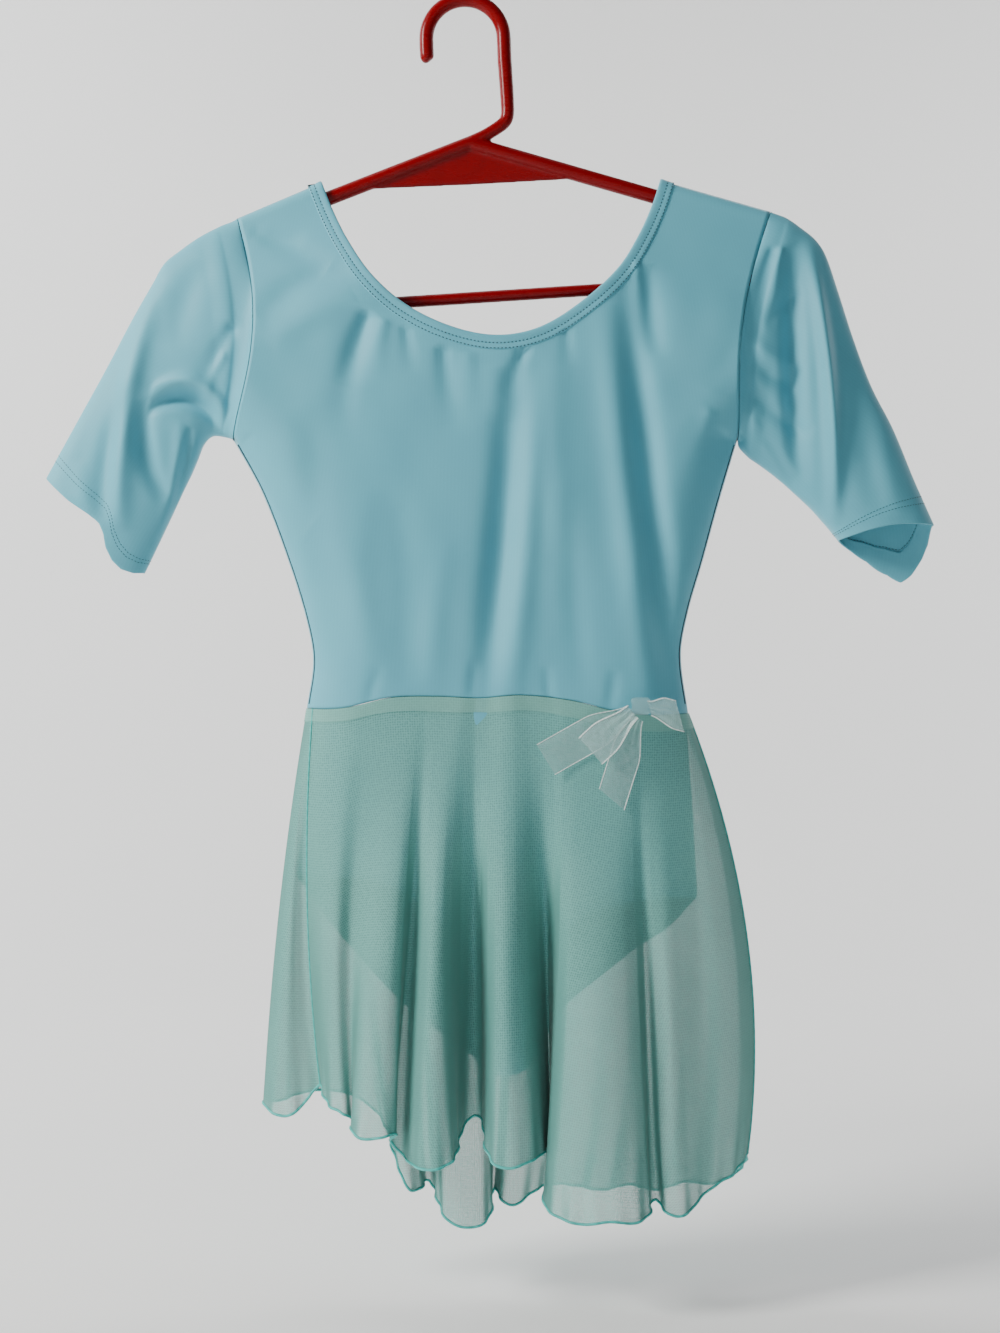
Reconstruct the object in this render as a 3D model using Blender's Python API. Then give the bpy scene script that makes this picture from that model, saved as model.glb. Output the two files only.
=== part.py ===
"""A child's ballet dress on a tubular hanger: stretch bodice, half sleeves, mesh skirt and a ribbon bow.

Tables and sizes are in millimetres, and MM scales them where a mesh is made.
The origin is the point inside the top of the hook where the hanger rests, +Z is up
and the dress faces -Y. Left and right are the viewer's.
"""

import math

import bmesh
import bpy
from mathutils import Vector

MM = 0.001
WELD = 0.02

# Cloth
WALL = 1.0
SEAM_GAP = 0.3
BAND_WIDTH = 9.0
BAND_WALL = 1.4
BAND_SEAM = 0.55

# Hanger
HOOK_ROD = 4.5
ARM_ROD = 4.6
BAR_ROD = 3.8
HOOK_BEND = 24.0
HOOK_TIP = [(-22.4, -34.0), (-22.9, -33.2), (-23.5, -31.0), (-23.9, -25.0)]
HOOK_LIMB = [
    (24.5, -32.9),
    (25.4, -45.3),
    (26.3, -60.0),
    (26.4, -66.0),
    (25.2, -70.4),
    (21.8, -73.8),
    (12.0, -79.8),
    (-4.5, -87.0),
]
HOOK_ROOT_ROD = 3.8
TURN_STEPS = 8
TIP_SHARES = (0.4, 0.75, 0.95, 1.0)
HOOK_STEPS = 12
APEX = (3.1, -84.6)
LEFT_ARM_RISE = 0.39
RIGHT_ARM_RISE = -0.288
BAR_RISE = 0.0645
BAR_LEVEL = -180.6
LEFT_TURN_X = -151.0
RIGHT_TURN_X = 187.0
PLATE_WALL = 2.6
PLATE = [(-54.0, -107.5), (3.1, -85.4), (66.5, -103.0), (62.0, -107.0), (5.0, -110.2), (-49.0, -113.6)]

# Shoulder line: its outer ends at the armhole notches and where it meets the neck
NOTCH_LEFT = (-140.7, -130.9)
NOTCH_RIGHT = (189.1, -126.9)
NECK_LEFT = (-88.7, -108.8)
NECK_RIGHT = (120.9, -107.5)
UNDERARM_LEFT = (-143.2, -269.1)
UNDERARM_RIGHT = (168.6, -269.1)
ARMHOLE_BOW = {"left": 13.0, "right": -9.0}

# Depth of the hollow dress, before and behind the plane of the hanger
SHOULDER_WRAP = 6.4
WRAP_RUN = 90.0
SIDE_ROUND = 45.0
UNDERARM_SPREAD = 0.9
FRONT_DEPTH = 23.0
BACK_DEPTH = 15.0
FOLD_FADE = 30.0
CROTCH_LEVEL = -660.0
CROTCH_ROUND = 40.0
CROTCH_DEPTH = 6.0
BRIEF_TOP = -437.0
BRIEF_INSET = 1.5
SLEEVE_ROUNDNESS = 0.4
GRADIENT_STEP = 0.4

# Front neckline, x and z of its outer edge
FRONT_NECK = [
    (-88.7, -108.8),
    (-81.8, -126.4),
    (-71.5, -147.3),
    (-56.6, -169.5),
    (-36.3, -187.6),
    (-8.8, -201.2),
    (19.9, -206.8),
    (46.1, -201.8),
    (73.6, -184.6),
    (93.8, -165.3),
    (106.3, -144.9),
    (115.4, -124.5),
    (120.9, -107.5),
]
# Back neckline: the lower scoop that the front hides
BACK_NECK = [
    (-88.7, -108.8),
    (-85.5, -130.0),
    (-77.0, -165.0),
    (-60.0, -202.0),
    (-30.0, -232.0),
    (18.0, -246.0),
    (64.0, -233.0),
    (93.0, -202.0),
    (109.0, -165.0),
    (117.5, -130.0),
    (120.9, -107.5),
]

# Side seams from the underarm to the waist seam
SIDE_LEFT = [
    (-143.2, -269.1),
    (-125.9, -300.7),
    (-109.7, -342.9),
    (-98.6, -378.8),
    (-94.2, -404.9),
    (-98.0, -434.6),
]
SIDE_RIGHT = [
    (168.6, -269.1),
    (156.9, -308.8),
    (147.6, -342.9),
    (138.3, -375.1),
    (133.9, -401.8),
    (138.3, -437.7),
]

# Waist seam
WAIST = [
    (-98.0, -434.6),
    (-74.9, -434.3),
    (-45.3, -427.8),
    (-16.6, -427.0),
    (9.5, -428.0),
    (33.9, -426.2),
    (64.3, -429.3),
    (90.0, -435.5),
    (112.0, -438.3),
    (138.3, -437.7),
]

# Leg openings with the crotch between them, front and back, from hip to hip
FRONT_LEGS = [
    (-104.5, -538.8),
    (-76.3, -538.4),
    (-48.6, -541.9),
    (-21.2, -560.0),
    (-1.0, -582.8),
    (9.0, -616.8),
    (12.0, -645.0),
    (14.0, -660.0),
    (36.0, -660.0),
    (38.0, -645.0),
    (43.2, -607.6),
    (56.0, -579.6),
    (73.7, -561.6),
    (101.2, -554.1),
    (122.7, -551.3),
    (144.6, -551.2),
]
BACK_LEGS = [
    (-104.5, -538.8),
    (-84.8, -567.8),
    (-66.0, -589.7),
    (-41.0, -616.6),
    (-15.8, -636.4),
    (3.0, -650.0),
    (14.0, -660.0),
    (36.0, -660.0),
    (45.4, -648.0),
    (62.4, -620.7),
    (84.4, -602.2),
    (105.7, -585.3),
    (127.0, -570.9),
    (144.6, -551.2),
]
BRIEF_LEFT = [(-98.0, -434.6), (-100.2, -485.0), (-104.5, -538.8)]
BRIEF_RIGHT = [(138.3, -437.7), (142.0, -491.7), (144.6, -551.2)]

# Bodice folds: where each starts and ends, how far it stands out (or in, below zero) and its half width
FRONT_FOLDS = [
    # x_top, z_top, x_end, z_end, height, half_width
    (98.0, -178.0, 129.0, -430.0, -2.6, 10.0),
    (116.0, -165.0, 117.0, -235.0, -1.6, 9.0),
    (-61.0, -190.0, -72.0, -238.0, -1.8, 10.0),
    (30.0, -228.0, 12.0, -430.0, -2.0, 12.0),
    (18.0, -224.0, 22.0, -260.0, 1.4, 8.0),
    (58.0, -215.0, 66.0, -390.0, 1.5, 13.0),
    (-132.0, -292.0, -96.0, -325.0, -1.8, 11.0),
    (-124.0, -142.0, -84.0, -166.0, -1.6, 9.0),
]
BACK_FOLDS = [
    (-96.0, -215.0, -70.0, -400.0, 1.6, 12.0),
    (20.0, -260.0, 16.0, -410.0, -1.5, 13.0),
    (118.0, -225.0, 104.0, -405.0, 1.6, 12.0),
]

# Sleeves: edges of the pressed-flat tube, how deep it is and how its ring bows out
LEFT_SLEEVE = [
    # fold_x, fold_z, seam_x, seam_z, front, back, bow_front, bow_back
    (-140.7, -130.9, -143.2, -269.1, 0.0, 0.0, -13.0, -13.0),
    (-152.0, -136.4, -150.0, -266.6, 16.0, 12.5, -10.0, -10.0),
    (-164.5, -143.0, -156.5, -266.4, 16.0, 13.0, -6.0, -6.0),
    (-176.8, -151.6, -161.8, -271.5, 15.5, 13.0, -3.0, -3.0),
    (-186.2, -159.4, -165.6, -281.0, 15.0, 11.5, -1.0, -1.0),
    (-193.0, -171.2, -169.2, -289.5, 14.5, 11.0, 0.0, 0.0),
    (-206.0, -194.0, -174.8, -301.0, 14.0, 11.0, 0.0, 0.0),
    (-221.5, -223.5, -181.5, -315.5, 14.0, 11.0, 0.0, 0.0),
    (-236.0, -249.8, -188.0, -329.3, 14.0, 10.5, 1.0, -1.0),
    (-248.8, -273.0, -193.6, -341.0, 13.5, 10.5, 2.5, -1.5),
    (-259.2, -292.0, -198.4, -350.9, 13.0, 10.0, 3.5, -2.0),
]
RIGHT_SLEEVE = [
    (189.1, -126.9, 168.6, -269.1, 0.0, 0.0, -9.0, -9.0),
    (199.0, -131.0, 174.6, -278.4, 16.0, 12.5, -7.0, -7.0),
    (209.4, -138.2, 182.0, -283.8, 16.0, 12.5, -4.0, -4.0),
    (217.4, -145.0, 189.5, -289.3, 16.0, 12.5, -2.0, -2.0),
    (223.4, -154.4, 196.8, -295.2, 16.0, 12.5, 0.0, 0.0),
    (230.2, -174.2, 203.4, -301.1, 16.0, 13.0, 0.0, 0.0),
    (240.8, -207.0, 209.5, -306.7, 16.5, 13.5, 0.0, 2.0),
    (251.8, -236.0, 215.4, -312.4, 17.0, 14.5, 0.0, 5.0),
    (265.0, -262.0, 221.0, -318.6, 17.5, 15.5, -1.0, 9.5),
    (278.2, -294.0, 226.4, -324.7, 18.0, 16.5, -2.5, 16.0),
    (290.2, -321.2, 231.3, -330.5, 18.5, 17.5, -4.0, 24.0),
]

# Skirt: one row for each ridge or valley, followed along the waist, half way down and along the hem.
# The last three columns are the hem's x, y and z. Side f is before the hanger's plane, b behind it.
SKIRT_FRONT = [
    # side, waist_x, mid_x, hem_x, hem_y, hem_z
    ("f", -93.5, -97, -89, -10, -666),
    ("f", -84, -87, -83, -24, -675),
    ("f", -70, -77, -74, -33, -679),
    ("f", -54, -68, -67, -29, -684),
    ("f", -44, -57, -68, -40, -687),
    ("f", -38, -49, -61, -48, -691),
    ("f", -32, -41, -50, -50, -690),
    ("f", -27, -36, -41, -44, -689),
    ("f", -24, -33, -44, -33, -696),
    ("f", -21, -30, -38, -33, -703),
    ("f", -17, -25, -31, -45, -707),
    ("f", -11, -19, -21, -55, -708),
    ("f", -6, -13, -11, -54, -706),
    ("f", -2, -8, -5, -44, -702),
    ("f", 1, -2, -2, -28, -692),
    ("f", 6, 5, 5, -17, -684),
    ("f", 10, 10, 11, -23, -686),
    ("f", 14, 14, 13, -37, -698),
    ("f", 18, 19, 18, -47, -706),
    ("f", 23, 25, 27, -51, -708),
    ("f", 29, 32, 37, -47, -706),
    ("f", 34, 38, 45, -38, -704),
    ("f", 39, 44, 51, -25, -702),
    ("f", 46, 50, 53, -16, -707),
    ("f", 54, 54, 50, -26, -720),
    ("f", 60, 57, 48, -40, -731),
    ("f", 67, 63, 55, -52, -736),
    ("f", 77, 73, 70, -60, -739),
    ("f", 87, 85, 87, -62, -737),
    ("f", 95, 96, 102, -57, -739),
    ("f", 101, 104, 111, -47, -736),
    ("f", 106, 109, 115, -36, -730),
    ("f", 112, 115, 120, -42, -735),
    ("f", 118, 123, 128, -46, -738),
    ("f", 123, 132, 136, -40, -736),
    ("f", 128, 143, 144, -32, -729),
    ("f", 132, 154, 153, -29, -723),
    ("f", 136, 165, 164, -22, -718),
    ("f", 138.3, 174, 175, -6, -709),
]
SKIRT_BACK = [
    ("b", 138.3, 174, 175, -6, -709),
    ("b", 136, 172, 171, 12, -724),
    ("b", 129, 160, 155, 11, -732),
    ("b", 119, 147, 138, 23, -734),
    ("b", 107, 131, 120, 12, -736),
    ("b", 94, 115, 103, 24, -736),
    ("b", 82, 98, 85, 11, -736),
    ("b", 69, 81, 68, 23, -736),
    ("b", 57, 66, 52, 21, -735),
    ("b", 47, 53, 40, 11, -739),
    ("b", 38, 42, 30, 4, -744),
    ("b", 28, 31, 22, 9, -741),
    ("b", 20, 22, 18, 20, -738),
    ("b", 12, 13, 16, 10, -750),
    ("b", 4, 5, 10, 3, -756),
    ("b", -5, -5, -2, 2, -757),
    ("b", -13, -14, -12, 4, -752),
    ("b", -21, -23, -18, 13, -741),
    ("b", -27, -30, -23, 22, -733),
    ("b", -35, -38, -28, 10, -735),
    ("b", -42, -46, -35, 4, -734),
    ("b", -50, -56, -43, 8, -717),
    ("b", -57, -66, -52, 18, -694),
    ("b", -67, -78, -67, 22, -681),
    ("b", -78, -90, -84, 12, -674),
    ("b", -88, -101, -102, 21, -677),
    ("b", -95.5, -110, -117, 14, -681),
    ("b", -98.0, -115, -125, 3, -679),
    ("f", -97.6, -112, -120, -7, -683),
    ("f", -96.8, -107, -110, -13, -685),
    ("f", -95.9, -103, -101, -11, -680),
    ("f", -94.8, -100, -94, -9, -671),
    ("f", -93.5, -97, -89, -10, -666),
]
SKIRT_GROWTH = 1.5

# Bow: each ribbon runs from beside the knot to its far edge, given by that edge's two corners
KNOT = (106.9, -28.6, -433.0)
KNOT_SIZE = (8.6, 9.0, 9.4)
KNOT_ROUND = 2.6
RIBBON_LOOPS = [
    # name, root_x, root_z, far_x1, far_z1, far_x2, far_z2, root_width, front_y, back_y
    ("bow_left_loop", 101.8, -436.4, 67.6, -453.9, 81.5, -469.6, 9.5, -34.9, -29.8),
    ("bow_right_loop", 112.2, -434.2, 131.0, -430.4, 136.0, -449.1, 9.0, -33.9, -27.9),
]
RIBBON_TAILS = [
    # name, root_x, root_z, far_x1, far_z1, far_x2, far_z2, root_width, root_y, far_y
    ("bow_left_tail", 101.8, -436.0, 44.1, -456.4, 55.0, -474.5, 8.0, -24.6, -27.4),
    ("bow_right_tail", 105.2, -439.6, 82.0, -483.3, 97.1, -496.0, 8.0, -26.9, -27.8),
]
LOOP_STEPS = 16
TAIL_STEPS = 7
RIBBON_WAVE = 1.2
RIBBON_CUP = 0.65

ARMHOLE_SHARES = [0.0, 0.013, 0.044, 0.10, 0.21, 0.35, 0.50, 0.65, 0.80, 0.92, 0.98, 1.0]
SIDE_ROWS = 8
EDGE_PULL = 20
UNDERARM_SHARE = 0.455
LEFT_SHOULDER_COLUMNS = 3
RIGHT_SHOULDER_COLUMNS = 4
NECK_COLUMNS = 24
BRIEF_COLUMNS = 20
BRIEF_ROWS = 8
SKIRT_ROWS = 8
SKIRT_STEPS = 2

FINISHES = {
    # name: colour as sRGB hex, roughness
    "stretch_cloth": ("93C4CC", 0.55),
    "mesh_cloth": ("86BDB4", 0.75),
    "organza_ribbon": ("B5DADB", 0.35),
    "red_moulded_plastic": ("A80F18", 0.28),
}


def clear_scene():
    """Remove every object that the scene starts with."""
    for item in list(bpy.data.objects):
        bpy.data.objects.remove(item, do_unlink=True)


def material(name):
    """The Principled material of one of the FINISHES, made once."""
    found = bpy.data.materials.get(name)
    if found:
        return found
    code, roughness = FINISHES[name]
    made = bpy.data.materials.new(name)
    made.use_nodes = True
    shader = made.node_tree.nodes["Principled BSDF"]
    channels = [int(code[k : k + 2], 16) / 255 for k in (0, 2, 4)]
    linear = [c / 12.92 if c <= 0.04045 else ((c + 0.055) / 1.055) ** 2.4 for c in channels]
    shader.inputs["Base Color"].default_value = (*linear, 1.0)
    shader.inputs["Roughness"].default_value = roughness
    shader.inputs["Metallic"].default_value = 0.0
    return made


def mix(a, b, share):
    return a + (b - a) * share


def smooth(share):
    """An S curve from 0 to 1."""
    share = min(max(share, 0.0), 1.0)
    return share * share * (3 - 2 * share)


def eased(count, amount):
    """Shares from 0 to 1 that crowd towards both ends by amount."""
    shares = [k / count for k in range(count + 1)]
    return [mix(s, (1 - math.cos(math.pi * s)) / 2, amount) for s in shares]


def through(rows, position):
    """The point at position (0 to 1 over the length) of a smooth curve through the rows."""
    points = [Vector(row) for row in rows]
    lengths = [(b - a).length for a, b in zip(points, points[1:])]
    left = min(max(position, 0.0), 1.0) * sum(lengths)
    k = 0
    while k < len(lengths) - 1 and left > lengths[k]:
        left -= lengths[k]
        k += 1
    return hermite(points, k, min(left / lengths[k], 1.0))


def hermite(points, k, share):
    """A point between points k and k + 1, with the slopes of a Catmull-Rom curve."""
    a, b = points[k], points[k + 1]
    span = (b - a).length
    before = points[max(k - 1, 0)]
    after = points[min(k + 2, len(points) - 1)]
    leave = (b - before) * (span / max((b - before).length, 1e-9))
    arrive = (after - a) * (span / max((after - a).length, 1e-9))
    square, cube = share**2, share**3
    return (
        a * (2 * cube - 3 * square + 1)
        + leave * (cube - 2 * square + share)
        + b * (3 * square - 2 * cube)
        + arrive * (cube - square)
    )


def level_on(rows, height):
    """The x of a falling line of (x, z) rows at a height."""
    for (x1, z1), (x2, z2) in zip(rows, rows[1:]):
        if z2 <= height <= z1:
            share = (z1 - height) / (z1 - z2)
            return hermite([Vector(r) for r in rows], rows.index((x1, z1)), share).x
    return rows[0][0] if height > rows[0][1] else rows[-1][0]


def waist_level(x):
    """The height of the waist seam at x."""
    for k, ((x1, _), (x2, _)) in enumerate(zip(WAIST, WAIST[1:])):
        if x1 <= x <= x2:
            return hermite([Vector(r) for r in WAIST], k, (x - x1) / (x2 - x1)).y
    return WAIST[0][1] if x < WAIST[0][0] else WAIST[-1][1]


def shoulder_level(x):
    """The height of the shoulder line at x, carried on to a peak over the neck."""
    left = mix(NOTCH_LEFT[1], NECK_LEFT[1], (x - NOTCH_LEFT[0]) / (NECK_LEFT[0] - NOTCH_LEFT[0]))
    right = mix(NOTCH_RIGHT[1], NECK_RIGHT[1], (x - NOTCH_RIGHT[0]) / (NECK_RIGHT[0] - NOTCH_RIGHT[0]))
    return min(left, right)


def armhole_x(side, height):
    """The x of an armhole seam at a height between its notch and its underarm."""
    top, low = (NOTCH_LEFT, UNDERARM_LEFT) if side == "left" else (NOTCH_RIGHT, UNDERARM_RIGHT)
    share = min(max((top[1] - height) / (top[1] - low[1]), 0.0), 1.0)
    return mix(top[0], low[0], share) + ARMHOLE_BOW[side] * math.sin(math.pi * share)


def edge_x(side, height):
    """The x where the hollow closes at a height: the side seam, or the open armhole's far side."""
    underarm, rows = (UNDERARM_LEFT, SIDE_LEFT) if side == "left" else (UNDERARM_RIGHT, SIDE_RIGHT)
    if height <= underarm[1]:
        below = BRIEF_LEFT if side == "left" else BRIEF_RIGHT
        return level_on(rows, height) if height >= rows[-1][1] else level_on(below, height)
    away = UNDERARM_SPREAD * (height - underarm[1])
    return underarm[0] - away if side == "left" else underarm[0] + away


def fold_height(x, z, folds):
    """How far the folds push the cloth out at a place."""
    height = 0.0
    place = Vector((x, z))
    for x_top, z_top, x_end, z_end, out, half_width in folds:
        start, end = Vector((x_top, z_top)), Vector((x_end, z_end))
        run = end - start
        along = (place - start).dot(run) / run.length_squared
        if not 0.0 < along < 1.0:
            continue
        across = (place - start - run * along).length
        height += out * math.sin(math.pi * along) ** 0.7 * math.exp(-((across / half_width) ** 2))
    return height


def trunk_depth(x, z, full, folds):
    """How far a bodice wall stands from the hanger's plane."""
    below = max(shoulder_level(x) - z, 0.0)
    wrap = SHOULDER_WRAP
    depth = math.sqrt(max(wrap**2 - max(wrap - below, 0.0) ** 2, 0.0))
    depth += (full - wrap) * smooth(below / WRAP_RUN)
    inside = min(x - edge_x("left", z), edge_x("right", z) - x)
    share = min(max(inside / SIDE_ROUND, 0.0), 1.0)
    side = math.sqrt(1 - (1 - share) ** 2)
    return (depth + fold_height(x, z, folds) * smooth(below / FOLD_FADE)) * side


def front_depth(x, z):
    return trunk_depth(x, z, FRONT_DEPTH, FRONT_FOLDS)


def back_depth(x, z):
    return trunk_depth(x, z, BACK_DEPTH, BACK_FOLDS)


def brief_depth(x, z, full):
    """How far a brief wall stands from the hanger's plane: less towards the crotch, and round under it."""
    above = max(z - CROTCH_LEVEL, 0.0)
    depth = mix(CROTCH_DEPTH, full - BRIEF_INSET, min(above / (BRIEF_TOP - CROTCH_LEVEL), 1.0))
    under = min(above / CROTCH_ROUND, 1.0)
    depth *= math.sqrt(1 - (1 - under) ** 2)
    inside = min(x - edge_x("left", z), edge_x("right", z) - x) - BRIEF_INSET
    share = min(max(inside / SIDE_ROUND, 0.0), 1.0)
    return depth * math.sqrt(1 - (1 - share) ** 2)


def parallel_neck(rows, offset, shares):
    """Points of a neckline moved away from the opening by offset, ending on the shoulder lines."""
    found = []
    for share in shares:
        place = through(rows, share)
        ahead = through(rows, min(share + 0.004, 1.0)) - through(rows, max(share - 0.004, 0.0))
        outward = Vector((ahead.y, -ahead.x)).normalized()
        if share in (0.0, 1.0):
            end, notch = (NECK_LEFT, NOTCH_LEFT) if share == 0.0 else (NECK_RIGHT, NOTCH_RIGHT)
            shoulder = (Vector(notch) - Vector(end)).normalized()
            outward = shoulder / shoulder.dot(outward)
        found.append(place + outward * offset)
    return found


def coons(top, left, bottom, right, across, down):
    """A grid of (x, z) points filled in between four edges. Rows run from top to bottom.

    The bends of the two side edges fade quickly inwards, so that no row crosses the edge above it.
    """
    grid = []
    for j, v in enumerate(down):
        row = []
        for i, u in enumerate(across):
            lid = top[i] * (1 - v) + bottom[i] * v
            left_bend = left[j] - (top[0] * (1 - v) + bottom[0] * v)
            right_bend = right[j] - (top[-1] * (1 - v) + bottom[-1] * v)
            row.append(lid + left_bend * (1 - u) ** EDGE_PULL + right_bend * u**EDGE_PULL)
        grid.append(row)
    return grid


def ring_normals(grid, outward):
    """The unit normal at each point of a grid that closes on itself, on the side of outward(point)."""
    rows, columns = len(grid), len(grid[0])
    normals = []
    for j in range(rows):
        line = []
        for i in range(columns):
            along = grid[j][(i + 1) % columns] - grid[j][i - 1]
            down = grid[min(j + 1, rows - 1)][i] - grid[max(j - 1, 0)][i]
            line.append(along.cross(down).normalized())
        normals.append(line)
    lean = sum(normals[j][i].dot(outward(grid[j][i])) for j in range(rows) for i in range(columns))
    return normals if lean > 0 else [[-normal for normal in line] for line in normals]


def sheet_normals(grid, inside):
    """The unit normal at each point of an open grid, on the side away from the point inside."""
    rows, columns = len(grid), len(grid[0])
    normals = []
    for j in range(rows):
        line = []
        for i in range(columns):
            along = grid[j][min(i + 1, columns - 1)] - grid[j][max(i - 1, 0)]
            down = grid[min(j + 1, rows - 1)][i] - grid[max(j - 1, 0)][i]
            line.append(along.cross(down).normalized())
        normals.append(line)
    lean = sum(normals[j][i].dot(grid[j][i] - inside) for j in range(rows) for i in range(columns))
    return normals if lean > 0 else [[-normal for normal in line] for line in normals]


def depth_normal(place, depth_of):
    """The outward unit normal of the front or back of the hollow dress at a place on it."""
    way = 1.0 if place.y > 0 else -1.0
    step = GRADIENT_STEP
    across = depth_of(place.x + step, place.z) - depth_of(place.x - step, place.z)
    upwards = depth_of(place.x, place.z + step) - depth_of(place.x, place.z - step)
    normal = Vector((-across, way * 2 * step, -upwards))
    if abs(place.y) < SEAM_GAP:
        normal.y = 0.0
    return normal.normalized()


def without_x(normal):
    """A wall's direction turned so that its rim faces a seam that runs down the dress."""
    turned = Vector((0.0, normal.y, normal.z))
    return turned.normalized() if turned.length > 0.4 else normal


def add_wall(name, finish, grid, normals, wall=WALL, ring=False, shift=0.0):
    """A closed solid between the grid, moved out by shift, and a copy of it wall further in."""
    rows, columns = len(grid), len(grid[0])
    mesh = bmesh.new()
    sheets = []
    for depth in (shift, shift - wall):
        sheet = []
        for j in range(rows):
            places = [(grid[j][i] + normals[j][i] * depth) * MM for i in range(columns)]
            sheet.append([mesh.verts.new(place) for place in places])
        sheets.append(sheet)
    outer, inner = sheets
    spans = columns if ring else columns - 1
    for j in range(rows - 1):
        for i in range(spans):
            k = (i + 1) % columns
            mesh.faces.new((outer[j][i], outer[j][k], outer[j + 1][k], outer[j + 1][i]))
            mesh.faces.new((inner[j][i], inner[j + 1][i], inner[j + 1][k], inner[j][k]))
    for i in range(spans):
        k = (i + 1) % columns
        mesh.faces.new((outer[0][i], inner[0][i], inner[0][k], outer[0][k]))
        mesh.faces.new((outer[-1][i], outer[-1][k], inner[-1][k], inner[-1][i]))
    if not ring:
        for j in range(rows - 1):
            mesh.faces.new((outer[j][0], outer[j + 1][0], inner[j + 1][0], inner[j][0]))
            mesh.faces.new((outer[j][-1], inner[j][-1], inner[j + 1][-1], outer[j + 1][-1]))
    bmesh.ops.recalc_face_normals(mesh, faces=mesh.faces)
    return finish_object(name, finish, mesh)


def finish_object(name, finish, mesh):
    """Make the object of a bmesh, shaded smooth, with its material."""
    data = bpy.data.meshes.new(name)
    mesh.to_mesh(data)
    mesh.free()
    data.shade_smooth()
    data.set_sharp_from_angle(angle=math.radians(40))
    data.materials.append(material(finish))
    made = bpy.data.objects.new(name, data)
    bpy.context.scene.collection.objects.link(made)
    return made


def bodice_grid(neck_rows, depth_of, front):
    """The grid of a bodice panel, from the shoulder and neck edge down to the waist seam."""
    neck = parallel_neck(neck_rows, BAND_WIDTH + BAND_SEAM, eased(NECK_COLUMNS, 0.85))
    left_end, right_end = neck[0], neck[-1]
    top = [Vector(NOTCH_LEFT).lerp(left_end, k / LEFT_SHOULDER_COLUMNS) for k in range(LEFT_SHOULDER_COLUMNS)]
    top += neck
    steps = RIGHT_SHOULDER_COLUMNS
    top += [right_end.lerp(Vector(NOTCH_RIGHT), (k + 1) / steps) for k in range(steps)]
    down = [UNDERARM_SHARE * share for share in ARMHOLE_SHARES]
    down += [mix(UNDERARM_SHARE, 1.0, (k + 1) / SIDE_ROWS) for k in range(SIDE_ROWS)]
    edges = {}
    for side, notch, underarm, low in (
        ("left", NOTCH_LEFT, UNDERARM_LEFT, SIDE_LEFT[-1]),
        ("right", NOTCH_RIGHT, UNDERARM_RIGHT, SIDE_RIGHT[-1]),
    ):
        line = []
        for v in down:
            if v <= UNDERARM_SHARE:
                height = mix(notch[1], underarm[1], v / UNDERARM_SHARE)
                line.append(Vector((armhole_x(side, height), height)))
            else:
                height = mix(underarm[1], low[1], (v - UNDERARM_SHARE) / (1 - UNDERARM_SHARE))
                line.append(Vector((edge_x(side, height), height)))
        edges[side] = line
    across = eased(len(top) - 1, 0.75)
    span = SIDE_RIGHT[-1][0] - SIDE_LEFT[-1][0]
    bottom = [Vector((SIDE_LEFT[-1][0] + span * u, 0.0)) for u in across]
    for place in bottom:
        place.y = waist_level(place.x)
    flat = coons(top, edges["left"], bottom, edges["right"], across, down)
    way = -1.0 if front else 1.0
    half_gap = SEAM_GAP / 2
    return [
        [Vector((p.x, way * max(depth_of(p.x, p.y), half_gap), p.y)) for p in row]
        for row in flat
    ]


def build_bodice():
    for name, neck, depth_of, front in (
        ("front_bodice", FRONT_NECK, front_depth, True),
        ("back_bodice", BACK_NECK, back_depth, False),
    ):
        grid = bodice_grid(neck, depth_of, front)
        normals = [[depth_normal(place, depth_of) for place in row] for row in grid]
        for j in range(1, len(ARMHOLE_SHARES) - 1):
            for i in (0, -1):
                normals[j][i] = without_x(normals[j][i])
        add_wall(name, "stretch_cloth", grid, normals)


def build_neck_band():
    """The turned and stitched band, one closed strip over both shoulders."""
    shares = eased(NECK_COLUMNS, 0.85)
    rows, normals = [], []
    for offset in (0.0, BAND_WIDTH / 2, BAND_WIDTH):
        front = parallel_neck(FRONT_NECK, offset, shares)
        back = parallel_neck(BACK_NECK, offset, shares)
        line = [Vector((p.x, -front_depth(p.x, p.y), p.y)) for p in front]
        line += [Vector((p.x, back_depth(p.x, p.y), p.y)) for p in reversed(back[1:-1])]
        for k in (0, NECK_COLUMNS):
            line[k].y = 0.0
        rows.append(line)
        normals.append([depth_normal(p, front_depth if p.y < 0 else back_depth) for p in line])
    add_wall("neck_band", "stretch_cloth", rows, normals, BAND_WALL, ring=True, shift=BAND_WALL - WALL)


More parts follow.
